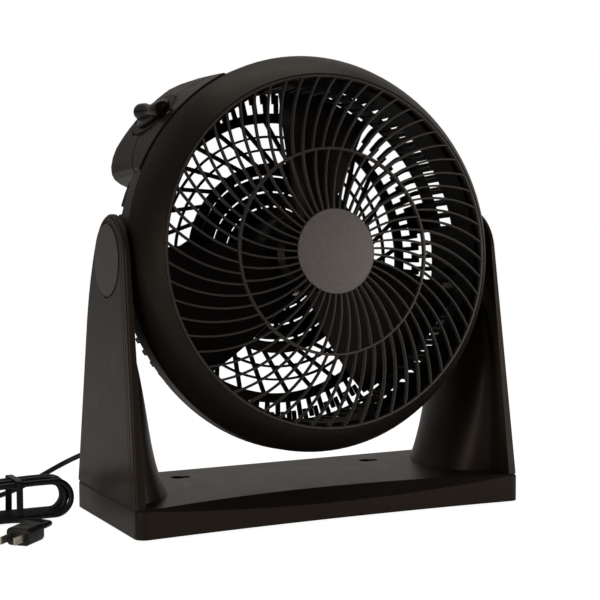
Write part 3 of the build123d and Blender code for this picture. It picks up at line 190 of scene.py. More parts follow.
def plastic(name, tint, roughness=0.42, grain=0.10, grain_scale=1500.0, edge=0.0007, rubbed=2.2,
            specular=0.5, sheen_spots=0.05):
    """Moulded plastic: fine spark texture, faint mottling, and edges rounded and rubbed paler."""
    finish = new_finish(name)
    rounded = finish.add("ShaderNodeBevel", {"samples": 4}, {"Radius": edge})
    plain = finish.add("ShaderNodeNewGeometry", output="Normal")
    facing = finish.add("ShaderNodeVectorMath", {"operation": "DOT_PRODUCT"}, {0: rounded, 1: plain}, output="Value")
    corner = (1 - facing).held(0.01, 0.16)
    flow = finish.noise(14.0, 3.0, 0.55)
    patches = finish.noise(120.0, 4.0, 0.6)
    spark = finish.noise(grain_scale, 3.0, 0.7)
    handled = finish.noise(35.0, 5.0, 0.65).held(0.52, 0.72)
    base = finish.mix(flow.held(0.3, 0.7), tinted(tint, 0.88), tinted(tint, 1.12))
    base = finish.mix(patches.held(0.35, 0.75) * 0.35, base, tinted(tint, 1.35))
    base = finish.mix(corner * patches.held(0.3, 0.6, 0.25, 1.0), base, tinted(tint, rubbed))
    rough = roughness + (patches - 0.5) * 0.10 + (flow - 0.5) * 0.06 - handled * sheen_spots + spark * 0.04 - 0.02
    bumps = finish.add("ShaderNodeBump", None, {"Strength": grain, "Distance": 0.0004, "Height": spark,
                                                "Normal": rounded})
    finish.surface({"Base Color": base, "Roughness": rough, "Normal": bumps,
                    "Specular IOR Level": specular, "Specular Tint": (1.0, 0.86, 0.74, 1), "IOR": 1.5})
    return finish.material


def metal(name, tint, roughness=0.32, scratches=0.10, edge=0.0003):
    """Plated or sintered metal with fine scratches and duller patches."""
    finish = new_finish(name)
    rounded = finish.add("ShaderNodeBevel", {"samples": 4}, {"Radius": edge})
    lines = finish.add("ShaderNodeTexNoise", None, {"Vector": finish.add(
        "ShaderNodeMapping", None, {"Vector": finish.place, "Scale": (1.0, 1.0, 9.0)}), "Scale": 600.0, "Detail": 4.0})
    dull = finish.noise(260.0, 3.0, 0.6).held(0.4, 0.7)
    base = finish.mix(dull, tinted(tint, 1.0), tinted(tint, 0.62))
    rough = roughness + dull * 0.22 + (lines - 0.5) * 0.2
    bumps = finish.add("ShaderNodeBump", None, {"Strength": scratches, "Distance": 0.0003, "Height": lines,
                                                "Normal": rounded})
    finish.surface({"Base Color": base, "Metallic": 1.0, "Roughness": rough, "Normal": bumps})
    return finish.material


def rubber(name, tint, roughness=0.62, grain=0.2, grain_scale=900.0):
    """Soft black rubber or cord sheath with a faint bloom."""
    finish = new_finish(name)
    bloom = finish.noise(70.0, 4.0, 0.6).held(0.42, 0.75)
    spark = finish.noise(grain_scale, 2.0, 0.6)
    base = finish.mix(bloom * 0.5, tinted(tint, 1.0), tinted(tint, 2.0))
    rough = roughness + bloom * 0.10 + (spark - 0.5) * 0.10
    bumps = finish.add("ShaderNodeBump", None, {"Strength": grain, "Distance": 0.0003, "Height": spark})
    finish.surface({"Base Color": base, "Roughness": rough, "Normal": bumps, "Specular IOR Level": 0.45})
    return finish.material


def winding(name, tint):
    """Enamelled copper wire, wound round the head's axis."""
    finish = new_finish(name)
    wires = finish.add("ShaderNodeTexWave", {"wave_type": "RINGS", "rings_direction": "Y"},
                       {"Vector": finish.place, "Scale": 420.0, "Distortion": 3.0, "Detail": 2.0})
    base = finish.mix(wires, tinted(tint, 0.45), tinted(tint, 1.15))
    bumps = finish.add("ShaderNodeBump", None, {"Strength": 0.6, "Distance": 0.0005, "Height": wires})
    finish.surface({"Base Color": base, "Metallic": 0.85, "Roughness": 0.30 + wires * 0.15, "Normal": bumps,
                    "Coat Weight": 0.6})
    return finish.material


def laminations(name, tint):
    """A stack of steel sheets, seen on edge."""
    finish = new_finish(name)
    sheets = finish.add("ShaderNodeTexWave", {"wave_type": "BANDS", "bands_direction": "Y"},
                        {"Vector": finish.place, "Scale": 620.0, "Distortion": 0.2})
    rust = finish.noise(90.0, 4.0, 0.6).held(0.5, 0.8)
    base = finish.mix(sheets, tinted(tint, 0.55), tinted(tint, 1.1))
    base = finish.mix(rust * 0.4, base, (0.16, 0.09, 0.05, 1))
    bumps = finish.add("ShaderNodeBump", None, {"Strength": 0.4, "Distance": 0.0003, "Height": sheets})
    finish.surface({"Base Color": base, "Metallic": 0.9, "Roughness": 0.42 + rust * 0.2, "Normal": bumps})
    return finish.material


def speckled(name, tint):
    """The cap's satin grey, with a fine metallic speckle."""
    finish = new_finish(name)
    flakes = finish.add("ShaderNodeTexVoronoi", {"feature": "F1"}, {"Vector": finish.place, "Scale": 1400.0},
                        output="Color")
    level = finish.add("ShaderNodeSeparateColor", None, {"Color": flakes}, output="Red")
    cloud = finish.noise(45.0, 3.0, 0.5)
    base = finish.mix(level.held(0.2, 1.0), tinted(tint, 0.78), tinted(tint, 1.25))
    base = finish.mix(cloud.held(0.35, 0.7) * 0.4, base, tinted(tint, 0.85))
    bumps = finish.add("ShaderNodeBump", None, {"Strength": 0.22, "Distance": 0.0002, "Height": level})
    finish.surface({"Base Color": base, "Metallic": 0.25, "Roughness": 0.46 + (level - 0.5) * 0.12, "Normal": bumps})
    return finish.material


finishes = {}


def finish_for(slot):
    """The material of a slot of the record, made once."""
    if slot in finishes:
        return finishes[slot]
    tints = bpy.context.scene.fan_colours
    makers = {
        "stand_plastic": lambda: plastic(slot, tints.stand, roughness=0.36, grain=0.09, specular=0.24),
        "plate_plastic": lambda: plastic(slot, tints.drum, roughness=0.55),
        "head_plastic": lambda: plastic(slot, tints.head, roughness=0.38, grain=0.08, specular=0.24),
        "drum_plastic": lambda: plastic(slot, tints.drum, roughness=0.50, grain=0.14, specular=0.12),
        # tints.grille carries a painted highlight: the ribs are made lighter than their own plastic.
        "grille_plastic": lambda: plastic(slot, tints.grille, roughness=0.38, grain=0.06, edge=0.0004, rubbed=1.8),
        "cap_plastic": lambda: speckled(slot, tints.cap),
        "pivot_satin": lambda: speckled(slot, (0.105, 0.090, 0.080)),
        "blade_plastic": lambda: plastic(slot, tints.blade, roughness=0.30, grain=0.04, edge=0.0005, specular=0.25),
        "knob_plastic": lambda: plastic(slot, tints.knob, roughness=0.26, grain=0.03, edge=0.0005, specular=0.2),
        "dial_plastic": lambda: plastic(slot, tints.head, roughness=0.46, grain=0.10, specular=0.2),
        "switch_plastic": lambda: plastic(slot, (0.32, 0.30, 0.26), roughness=0.40, rubbed=1.2),
        "foot_rubber": lambda: rubber(slot, tints.cord, roughness=0.72),
        "cord_rubber": lambda: rubber(slot, tints.cord, roughness=0.42, grain=0.08),
        "zinc_steel": lambda: metal(slot, (0.42, 0.43, 0.45), roughness=0.30),
        "motor_steel": lambda: laminations(slot, (0.36, 0.36, 0.37)),
        "washer_nylon": lambda: plastic(slot, (0.55, 0.53, 0.48), roughness=0.40, rubbed=1.1),
        "winding_copper": lambda: winding(slot, (0.55, 0.22, 0.09)),
        "bush_bronze": lambda: metal(slot, (0.48, 0.31, 0.15), roughness=0.42),
        "prong_brass": lambda: metal(slot, (0.62, 0.58, 0.48), roughness=0.24),
        "number_paint": lambda: plastic(slot, tints.number, roughness=0.5, grain=0.05, edge=0.00005, rubbed=1.1),
    }
    finishes[slot] = makers[slot]()
    return finishes[slot]


# ---------------------------------------------------------------- modelling helpers
def deselect():
    if bpy.context.object and bpy.context.object.mode != "OBJECT":
        bpy.ops.object.mode_set(mode="OBJECT")
    bpy.ops.object.select_all(action="DESELECT")


def pick(*pieces):
    """Selects these pieces alone and makes the first active."""
    deselect()
    for piece in pieces:
        piece.select_set(True)
    bpy.context.view_layer.objects.active = pieces[0]
    return pieces[0]


def edit(piece):
    pick(piece)
    bpy.ops.object.mode_set(mode="EDIT")
    bpy.ops.mesh.select_mode(type="VERT")


def choose(piece, test):
    """In edit mode, selects the vertices whose place passes a test."""
    bpy.ops.mesh.select_all(action="DESELECT")
    bpy.ops.object.mode_set(mode="OBJECT")
    for point in piece.data.vertices:
        point.select = bool(test(point.co))
    bpy.ops.object.mode_set(mode="EDIT")


def choose_edges(piece, axis, least):
    """In edit mode, selects the edges that reach further than this along an axis (0 to 2)."""
    bpy.ops.mesh.select_mode(type="EDGE")
    bpy.ops.mesh.select_all(action="DESELECT")
    bpy.ops.object.mode_set(mode="OBJECT")
    for edge in piece.data.edges:
        one, two = (piece.data.vertices[index].co for index in edge.vertices)
        edge.select = abs(one[axis] - two[axis]) > least
    bpy.ops.object.mode_set(mode="EDIT")


def place(piece, matrix):
    """Turns a piece into its place and writes that into its mesh."""
    pick(piece)
    piece.matrix_world = matrix
    bpy.ops.object.transform_apply(location=True, rotation=True, scale=True)
    return piece


def joined(name, *pieces):
    pick(*pieces)
    if len(pieces) > 1:
        bpy.ops.object.join()
    pieces[0].name = name
    pieces[0].data.name = name
    return pieces[0]


def tidy(piece, angle=35.0, merge=0.00001):
    """Merges doubles, points every face outwards and smooths the shading."""
    edit(piece)
    bpy.ops.mesh.select_all(action="SELECT")
    bpy.ops.mesh.remove_doubles(threshold=merge)
    bpy.ops.mesh.normals_make_consistent(inside=False)
    bpy.ops.object.mode_set(mode="OBJECT")
    bpy.ops.object.shade_smooth_by_angle(angle=radians(angle))
    return piece


def apply(piece, kind, **settings):
    """Adds a modifier and applies it."""
    pick(piece)
    modifier = piece.modifiers.new(kind.title(), kind)
    for key, value in settings.items():
        setattr(modifier, key, value)
    bpy.ops.object.modifier_apply(modifier=modifier.name)


def carve(piece, cutter, operation="DIFFERENCE"):
    """Cuts a piece with another one, which is used up."""
    apply(piece, "BOOLEAN", object=cutter, operation=operation, solver="EXACT")
    bpy.data.objects.remove(cutter)


def turned(name, profile, segments=96, closed=False):
    """A shape turned round Z: one ring drawn up through (radius, height) places in millimetres.
    A closed profile makes a ring; otherwise both ends are filled."""
    deselect()
    radius, height = profile[0]
    bpy.ops.mesh.primitive_circle_add(vertices=segments, radius=radius * MM, fill_type="NOTHING")
    piece = bpy.context.object
    bpy.ops.object.mode_set(mode="EDIT")
    bpy.ops.mesh.select_all(action="SELECT")
    bpy.ops.transform.translate(value=(0, 0, height * MM))
    if not closed:
        bpy.ops.mesh.edge_face_add()
    run = list(profile[1:]) + ([profile[0]] if closed else [])
    for wider, higher in run:
        bpy.ops.mesh.extrude_region_move(TRANSFORM_OT_translate={"value": (0, 0, (higher - height) * MM)})
        scale = wider / radius
        bpy.ops.transform.resize(value=(scale, scale, 1), center_override=(0, 0, 0))
        radius, height = wider, higher
    bpy.ops.object.mode_set(mode="OBJECT")
    piece.name = name
    return tidy(piece)


def finished(piece, body, slot, *nodes):
    """Gives a piece the material of its slot and its body, and hides the CAD nodes that it stands for."""
    piece.data.materials.clear()
    piece.data.materials.append(finish_for(slot))
    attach(piece, body)
    if nodes:
        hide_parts(*nodes)
    return piece


def copied(node, name):
    """A copy of a CAD node's mesh, merged so that it can be cut."""
    shell = frame["nodes"][node].copy()
    shell.data = shell.data.copy()
    bpy.context.scene.collection.objects.link(shell)
    shell.name, shell.data.name = name, name
    edit(shell)
    bpy.ops.mesh.select_all(action="SELECT")
    bpy.ops.mesh.remove_doubles(threshold=SAME_POINT)
    bpy.ops.object.mode_set(mode="OBJECT")
    return shell


def head_point(radius, angle, forward):
    """A point of the head, in millimetres and degrees, as a vector in metres."""
    a = radians(angle)
    return HEAD @ (Vector((radius * cos(a), radius * sin(a), forward)) * MM)


def plane_matrix(origin, along, normal):
    """The placing matrix of a plane with that origin, X direction and normal."""
    along, normal = along.normalized(), normal.normalized()
    across = normal.cross(along)
    return Matrix.Translation(origin) @ Matrix((along, across, normal)).transposed().to_4x4()


CONTROL_ANGLE, DIAL_FORWARD, DIAL_SEAT, DIAL_SLOPE = 135.5, -11.0, 185.0, radians(6.7)
OUTWARD = Vector((1, 0, 0)) * cos(radians(CONTROL_ANGLE)) + HEAD_UP * sin(radians(CONTROL_ANGLE))
DIAL_NORMAL = OUTWARD * cos(DIAL_SLOPE) + FACE * sin(DIAL_SLOPE)
DIAL_ALONG = FACE * cos(DIAL_SLOPE) - OUTWARD * sin(DIAL_SLOPE)
DIAL = plane_matrix(head_point(DIAL_SEAT, CONTROL_ANGLE, DIAL_FORWARD), DIAL_ALONG, DIAL_NORMAL)


# ---------------------------------------------------------------- pieces
class FAN_OT_stage(bpy.types.Operator):
    """Sets up the camera, the floor, the lamps and the background"""
    bl_idname = "fan.stage"
    bl_label = "Studio"

    def execute(self, context):
        scene = context.scene
        target = Vector((1.43, 0, 192.45)) * MM
        azimuth, elevation, distance, roll = radians(-25.75), radians(4.12), 1.4392, radians(-0.25)
        back = Vector((sin(azimuth) * cos(elevation), -cos(azimuth) * cos(elevation), sin(elevation)))
        deselect()
        bpy.ops.object.camera_add(location=target + back * distance)
        camera = context.object
        camera.rotation_mode = "QUATERNION"
        right = Vector((cos(azimuth), sin(azimuth), 0))
        up = back.cross(right)
        side = right * cos(roll) + up * sin(roll)
        top = up * cos(roll) - right * sin(roll)
        camera.rotation_quaternion = Matrix((side, top, back)).transposed().to_quaternion()
        camera.data.sensor_fit, camera.data.sensor_width = "HORIZONTAL", 36.0
        camera.data.lens = FOCAL_PIXELS * camera.data.sensor_width / PICTURE_PIXELS
        camera.data.clip_start, camera.data.clip_end = 0.05, 50.0
        scene.camera = camera
        scene.view_settings.view_transform = "Standard"

        deselect()
        bpy.ops.mesh.primitive_grid_add(x_subdivisions=8, y_subdivisions=8, size=scene.fan_sizes.floor_size,
                                        location=(0, 0, -0.0004))
        floor = context.object
        floor.name = "floor"
        sweep = new_finish("floor_paper")
        lit = sweep.add("ShaderNodeBsdfDiffuse", None, {"Color": (0.80, 0.80, 0.80, 1)})
        seen = sweep.add("ShaderNodeBsdfDiffuse", None, {"Color": (0.42, 0.42, 0.42, 1)})
        glow = sweep.add("ShaderNodeEmission", None, {"Color": (1, 1, 1, 1), "Strength": 0.95})
        shown = sweep.add("ShaderNodeAddShader", None, {0: seen, 1: glow})
        camera_ray = sweep.add("ShaderNodeLightPath", output="Is Camera Ray")
        glossy_ray = sweep.add("ShaderNodeLightPath", output="Is Glossy Ray")
        sweep.add_output(sweep.add("ShaderNodeMixShader", None, {0: camera_ray + glossy_ray * 0.25, 1: lit, 2: shown}))
        floor.data.materials.append(sweep.material)

        world = bpy.data.worlds.new("studio")
        world.use_nodes = True
        scene.world = world
        sky = Finish(world.node_tree)
        direction = sky.add("ShaderNodeTexCoord", output="Generated")
        depth = sky.add("ShaderNodeVectorMath", {"operation": "DOT_PRODUCT"},
                        {0: direction, 1: (0.50, 0.866, 0.0)}, output="Value")
        height = sky.add("ShaderNodeSeparateXYZ", None, {"Vector": direction}, output="Z")
        behind = depth.held(0.35, 1.0, 0.05, 0.40)
        above = height.held(0.1, 0.9, 0.0, 0.08)
        camera_ray = sky.add("ShaderNodeLightPath", output="Is Camera Ray")
        clear_ray = sky.add("ShaderNodeLightPath", output="Is Transmission Ray")
        plain = sky.add("ShaderNodeMath", {"operation": "MAXIMUM"}, {0: camera_ray, 1: clear_ray})
        room = behind + above
        level = room + plain * (1 - room)
        shade = sky.mix(plain, (1.0, 0.95, 0.90, 1), (1, 1, 1, 1))
        light = sky.add("ShaderNodeBackground", None, {"Color": shade, "Strength": level})
        sky.add_output(light, "ShaderNodeOutputWorld")

        self.lamp("key_lamp", (-1.25, 1.05, 1.15), (0, 0, 0.22), 1.1, 1.0)
        self.lamp("top_lamp", (0.15, 0.35, 1.85), (0, 0, 0.15), 1.3, 4.6)
        self.lamp("right_lamp", (1.4, -1.6, 0.35), (0, 0, 0.25), 0.8, 7.0)
        self.lamp("left_lamp", (-1.9, -0.9, 0.45), (0, 0, 0.22), 0.8, 5.6)
        return {"FINISHED"}

    def lamp(self, name, location, target, size, power):
        """A square lamp of slightly warm light."""
        deselect()
        bpy.ops.object.light_add(type="AREA", location=location)
        lamp = bpy.context.object
        lamp.name = name
        lamp.data.shape, lamp.data.size, lamp.data.energy = "SQUARE", size, power
        lamp.data.color = (1.0, 0.93, 0.85)
        heading = Vector(target) - Vector(location)
        lamp.rotation_euler = heading.to_track_quat("-Z", "Y").to_euler()


class FAN_OT_frame_finishes(bpy.types.Operator):
    """Gives every CAD node the material of its slot"""
    bl_idname = "fan.frame_finishes"
    bl_label = "Frame finishes"

    def execute(self, context):
        for part in frame["record"]["subparts"]:
            mesh = frame["nodes"][part["node"]].data
            mesh.materials.clear()
            mesh.materials.append(finish_for(part["material_slot"]))
        return {"FINISHED"}


class FAN_OT_grille(bpy.types.Operator):
    """Models the front grille: curved ribs with rounded fronts between three rings"""
    bl_idname = "fan.grille"
    bl_label = "Front grille"

    RIB_START, RIB_BEND, PHASE = 37.0, 125.0, 18.6
    HUB, MIDDLE, RIM = 35.5, 91.5, 158.2

    def turn(self, radius):
        """How far round its own arc, in radians, a rib has come at that radius."""
        side, level = 2 * self.RIB_START * self.RIB_BEND, 2 * self.RIB_BEND ** 2
        value = radius ** 2 - self.RIB_START ** 2 - level
        return asin(value / hypot(side, level)) + atan2(level, side)

    def ribs(self, sizes, inner, outer, count, steps):
        """One rib, spun along its arc from a rounded section, then copied round the grille."""
        first, last = self.turn(inner), self.turn(outer)
        start = Vector((self.RIB_START + self.RIB_BEND * sin(first), self.RIB_BEND * (cos(first) - 1), 0)) * MM
        centre = Vector((self.RIB_START, -self.RIB_BEND, 0)) * MM
        deselect()
        bpy.ops.mesh.primitive_plane_add(size=1)
        rib = bpy.context.object
        rib.scale = (sizes.rib_width, sizes.rib_depth, 1)
        bpy.ops.object.transform_apply(location=False, rotation=False, scale=True)
        edit(rib)
        bpy.ops.mesh.select_all(action="SELECT")
        bpy.ops.mesh.bevel(offset=sizes.rib_width * 0.36, segments=2, affect="VERTICES")
        bpy.ops.object.mode_set(mode="OBJECT")
        across = Vector((sin(first), cos(first), 0))
        turn = Matrix((across, Vector((0, 0, 1)), across.cross(Vector((0, 0, 1))))).transposed().to_4x4()
        depth = Vector((0, 0, -sizes.rib_depth / 2))
        place(rib, Matrix.Translation(start + depth) @ turn)
        edit(rib)
        bpy.ops.mesh.select_all(action="SELECT")
        bpy.ops.mesh.spin(steps=steps, angle=last - first, center=centre, axis=(0, 0, 1))
        bpy.ops.mesh.select_all(action="SELECT")
        bpy.ops.mesh.normals_make_consistent(inside=False)
        bpy.ops.mesh.spin(steps=count - 1, angle=2 * pi * (count - 1) / count, center=(0, 0, 0),
                          axis=(0, 0, 1), dupli=True)
        bpy.ops.object.mode_set(mode="OBJECT")
        return rib

    def execute(self, context):
        sizes = context.scene.fan_sizes
        outer = self.ribs(sizes, self.MIDDLE, self.RIM - 1.4, sizes.outer_ribs, 12)
        inner = self.ribs(sizes, self.HUB - 1.0, self.MIDDLE, sizes.inner_ribs, 10)
        ribs = joined("front_ribs", outer, inner)
        # the ribs' fronts follow a shallow dome
        dome = (self.RIM ** 2 - self.MIDDLE ** 2) / 12.0
        crown = 70.0 + self.RIM ** 2 / (2 * dome)
        for point in ribs.data.vertices:
            radius = hypot(point.co.x, point.co.y) / MM
            point.co.z += (crown - radius ** 2 / (2 * dome)) * MM
        rim = turned("rim", [(155.4, 65.7), (155.4, 69.3), (155.9, 70.0), (157.6, 70.0), (158.2, 69.4),
                             (158.2, 65.7)], 180, closed=True)
        middle = turned("middle", [(90.3, 71.7), (90.3, 75.6), (90.8, 76.15), (92.2, 76.05), (92.7, 75.5),
                                   (92.7, 71.6)], 144, closed=True)
        hub = turned("hub", [(33.0, 74.2), (35.5, 74.2), (36.2, 77.25), (30.0, 77.25)], 96, closed=True)
        place(ribs, Matrix.Rotation(radians(self.PHASE), 4, "Z"))
        grille = joined("grille", ribs, rim, middle, hub)
        bpy.ops.object.shade_smooth_by_angle(angle=radians(50))
        place(grille, HEAD)
        finished(grille, "head", "grille_plastic", "front_grille")
        return {"FINISHED"}


class FAN_OT_keyholes(bpy.types.Operator):
    """Widens the two mounting slots in the deck to keyholes"""
    bl_idname = "fan.keyholes"
    bl_label = "Keyholes"

    def execute(self, context):
        shell = copied("base_shell", "keyed_base")
        for side in (-100, 100):
            for x, y, radius in ((side - 4.0, 48.0, 6.5), (side - 0.5, 46.0, 4.4), (side + 4.0, 46.0, 4.4)):
                deselect()
                bpy.ops.mesh.primitive_cylinder_add(vertices=48, radius=radius * MM, depth=0.008,
                                                    location=(x * MM, y * MM, 0.0265))
                cutter = bpy.context.object
                bpy.ops.object.transform_apply(location=True, rotation=True, scale=True)
                carve(shell, cutter)
        tidy(shell, 16, SAME_POINT)
        apply(shell, "WEIGHTED_NORMAL", keep_sharp=True, weight=100)
        finished(shell, "stand", "stand_plastic", "base_shell")
        return {"FINISHED"}


class FAN_OT_pivots(bpy.types.Operator):
    """Turns the dark groove round the two pivot caps"""
    bl_idname = "fan.pivots"
    bl_label = "Pivot caps"

    def execute(self, context):
        for side, name in ((-1, "left"), (1, "right")):
            disc = copied(name + "_pivot_cap", name + "_pivot_disc")
            face = max((p for p in disc.data.polygons if p.normal.x * side > 0.9), key=lambda p: p.area)
            normal, start = face.normal.copy(), face.center.copy()
            level = [v.co for v in disc.data.vertices if abs((v.co - start).dot(normal)) < 0.00002]
            middle = sum(level, Vector()) / len(level)
            ring = turned("pivot_groove", [(31.9, -2.4), (33.6, -2.4), (33.6, 1.0), (31.9, 1.0)], 96, closed=True)
            place(ring, plane_matrix(middle, Vector((0, 1, 0)), normal))
            carve(disc, ring)
            tidy(disc, 12, SAME_POINT)
            apply(disc, "WEIGHTED_NORMAL", keep_sharp=True, weight=100)
            finished(disc, "stand", "pivot_satin", name + "_pivot_cap")
        return {"FINISHED"}


class FAN_OT_controls(bpy.types.Operator):
    """Rounds the control housing and gives it its curved seam"""
    bl_idname = "fan.controls"
    bl_label = "Control housing"

    HALF = 20.5
    CORNER = [(112, 0.0), (172, 0.0), (178.5, 0.5), (183.0, 1.6), (186.4, 3.4), (188.8, 6.0), (190.4, 9.5)]

    def rounded_block(self):
        """The sector that the housing fills, with rounded upper corners, drawn point by point."""
        run = [(radius, self.HALF - offset) for radius, offset in self.CORNER]
        run += [(190.6, angle) for angle in (6, 2, -2, -6)]
        run += [(radius, offset - self.HALF) for radius, offset in reversed(self.CORNER)]
        spots = []
        for radius, offset in run:
            angle = radians(CONTROL_ANGLE + offset)
            spots.append(Vector((radius * cos(angle), radius * sin(angle), -41.0)) * MM)
        deselect()
        bpy.ops.mesh.primitive_plane_add(size=0.01)
        block = bpy.context.object
        edit(block)
        bpy.ops.mesh.select_all(action="SELECT")
        bpy.ops.mesh.merge(type="CENTER")
        bpy.ops.transform.translate(value=spots[0])
        for here, onward in zip(spots[:-1], spots[1:]):
            bpy.ops.mesh.extrude_region_move(TRANSFORM_OT_translate={"value": onward - here})
        bpy.ops.mesh.select_all(action="SELECT")
        bpy.ops.mesh.edge_face_add()
        bpy.ops.mesh.extrude_region_move(TRANSFORM_OT_translate={"value": (0, 0, 0.074)})
        bpy.ops.mesh.select_all(action="SELECT")
        bpy.ops.mesh.normals_make_consistent(inside=False)
        bpy.ops.object.mode_set(mode="OBJECT")
        return place(block, HEAD)

    def execute(self, context):
        pieces = [copied("control_housing", "rounded_housing"), copied("control_fairing", "rounded_fairing"),
                  turned("joint", [(177.2, 14.2), (183.76, 14.2), (183.65, 15.1), (177.2, 15.1)], 360, closed=True)]
        place(pieces[-1], HEAD)
        for piece in pieces:
            carve(piece, self.rounded_block(), "INTERSECT")
            # the seam runs round the front of the housing in an arc, under the knob
            seam = turned("seam", [(75.4, -20.0), (75.4, 16.0), (76.6, 16.0), (76.6, -20.0)], 180, closed=True)
            carve(piece, place(seam, DIAL @ Matrix.Translation((0.077, 0, 0))))
        housing = joined("rounded_housing", *pieces)
        tidy(housing, 25, SAME_POINT)
        finished(housing, "head", "head_plastic", "control_housing", "control_fairing")
        return {"FINISHED"}


class FAN_OT_vents(bpy.types.Operator):
    """Cuts the air vents in the shroud and the rear housing, and models the rear grille"""
    bl_idname = "fan.vents"
    bl_label = "Vents and rear grille"

    VENTS, BRIDGE = 80, 4.2
    CONTROLS = range(25, 36)
    SCREWS = (3, 17, 43, 57, 70)
    PIVOTS = (79, 0, 1, 39, 40, 41)
    PLATE = (-49.6, -46.0)
    CENTRE = (-58.0, -54.4)

    def cells(self, near, far, back, front, kept):
        """Blocks that fill the vents with these numbers; vent 0 is at the head's right side."""
        pitch = 2 * pi / self.VENTS
        width = pitch - self.BRIDGE / 160
        deselect()
        bpy.ops.mesh.primitive_plane_add(size=1, rotation=(pi / 2, 0, 0))
        block = bpy.context.object
        bpy.ops.object.transform_apply(location=False, rotation=True, scale=False)
        block.scale = ((far - near) * MM, 1, (front - back) * MM)
        block.location = ((near + far) / 2 * MM, 0, (front + back) / 2 * MM)
        bpy.ops.object.transform_apply(location=True, rotation=False, scale=True)
        place(block, Matrix.Rotation(-width / 2, 4, "Z"))
        edit(block)
        bpy.ops.mesh.select_all(action="SELECT")
        bpy.ops.mesh.spin(steps=3, angle=width, center=(0, 0, 0), axis=(0, 0, 1))
        bpy.ops.mesh.select_all(action="SELECT")
        bpy.ops.mesh.normals_make_consistent(inside=False)
        bpy.ops.mesh.spin(steps=self.VENTS - 1, angle=2 * pi - pitch, center=(0, 0, 0), axis=(0, 0, 1), dupli=True)
        choose(block, lambda co: round(atan2(co.y, co.x) / pitch) % self.VENTS not in kept)
        bpy.ops.mesh.delete(type="VERT")
        bpy.ops.object.mode_set(mode="OBJECT")
        return block

    def bars(self, near, far, back, front, count, width, swirl=0.0):
        """Straight bars round the axis between two radii, each turned from the radius by the swirl."""
        along = Vector((far * cos(swirl) - near, far * sin(swirl), 0))
        deselect()
        bpy.ops.mesh.primitive_cube_add(size=1)
        bar = bpy.context.object
        bar.scale = (along.length * MM, width * MM, (front - back) * MM)
        bpy.ops.object.transform_apply(location=False, rotation=False, scale=True)
        edit(bar)
        bpy.ops.mesh.select_all(action="SELECT")
        bpy.ops.mesh.bevel(offset=0.0005, segments=2)
        bpy.ops.object.mode_set(mode="OBJECT")
        middle = Vector((near + along.x / 2, along.y / 2, (front + back) / 2)) * MM
        place(bar, Matrix.Translation(middle) @ Matrix.Rotation(atan2(along.y, along.x), 4, "Z"))
        edit(bar)
        bpy.ops.mesh.select_all(action="SELECT")
        bpy.ops.mesh.spin(steps=count - 1, angle=2 * pi * (count - 1) / count, center=(0, 0, 0), axis=(0, 0, 1),
                          dupli=True)
        bpy.ops.object.mode_set(mode="OBJECT")
        return bar

    def plate_ring(self, near, far, back, front):
        soft = 0.5
        return turned("plate_ring", [(near, back), (near, front - soft), (near + soft, front), (far - soft, front),
                                     (far, front - soft), (far, back)], 144, closed=True)

    def cut(self, node, name, blocks):
        """A copy of a CAD node with these blocks taken out."""
        shell = copied(node, name)
        for block in blocks:
            carve(shell, place(block, HEAD))
        tidy(shell, 30, SAME_POINT)
        finished(shell, "head", "drum_plastic", node)

    def execute(self, context):
        closed = {*self.CONTROLS, *self.PIVOTS}
        side = [number for number in range(self.VENTS) if number not in closed]
        rear = [number for number in range(self.VENTS) if number not in {*self.CONTROLS, *self.SCREWS}]
        self.cut("fan_shroud", "vented_shroud", [self.cells(150, 162, -11, 28, side)])
        self.cut("rear_housing", "vented_housing", [self.cells(160, 172, -13.5, 10, side),
                                                    self.cells(145, 172, -52, -33, rear)])
        filled = [number for number in range(self.VENTS) if number not in rear]
        rings = [self.plate_ring(near, far, *self.PLATE) for near, far in
                 ((81.6, 91.0), (102.7, 104.9), (115.1, 117.3), (129.2, 138.4))]
        centre = [self.plate_ring(near, far, *self.CENTRE) for near, far in
                  ((50.9, 63.1), (64.9, 78.1), (79.9, 84.0))]
        step = turned("step", [(81.6, -57.0), (81.6, -47.0), (84.0, -47.0), (84.0, -57.0)], 144, closed=True)
        disc = turned("disc", [(49.1, -58.0), (49.1, -54.4), (0.05, -54.4)], 96)
        grille = joined("rear_bars", disc, step, *rings, *centre,
                        self.bars(47.5, 82.5, *self.CENTRE, 24, 4.0),
                        self.bars(90.0, 130.5, *self.PLATE, 32, 3.8, radians(14)),
                        place(self.bars(137.5, 156.2, *self.PLATE, self.VENTS, self.BRIDGE),
                              Matrix.Rotation(pi / self.VENTS, 4, "Z")),
                        self.cells(137.5, 156.4, *self.PLATE, filled))
        bpy.ops.object.shade_smooth_by_angle(angle=radians(40))
        place(grille, HEAD)
        finished(grille, "head", "drum_plastic", "rear_grille")
        return {"FINISHED"}


class FAN_OT_cap(bpy.types.Operator):
    """Models the domed cap in the middle of the grille"""
    bl_idname = "fan.cap"
    bl_label = "Grille cap"

    def execute(self, context):
        edge = context.scene.fan_sizes.cap_radius / MM
        cap = turned("cap", [(edge, 77.3), (edge, 78.15), (edge - 0.25, 78.5), (edge - 0.8, 78.72), (edge - 1.6, 78.8),
                             (edge - 2.1, 78.74), (edge - 2.6, 78.8), (30, 79.25), (22, 79.7), (13, 80.0), (5, 80.15),
                             (0.02, 80.18)], 144)
        place(cap, HEAD)
        finished(cap, "head", "cap_plastic", "grille_cap")
        return {"FINISHED"}


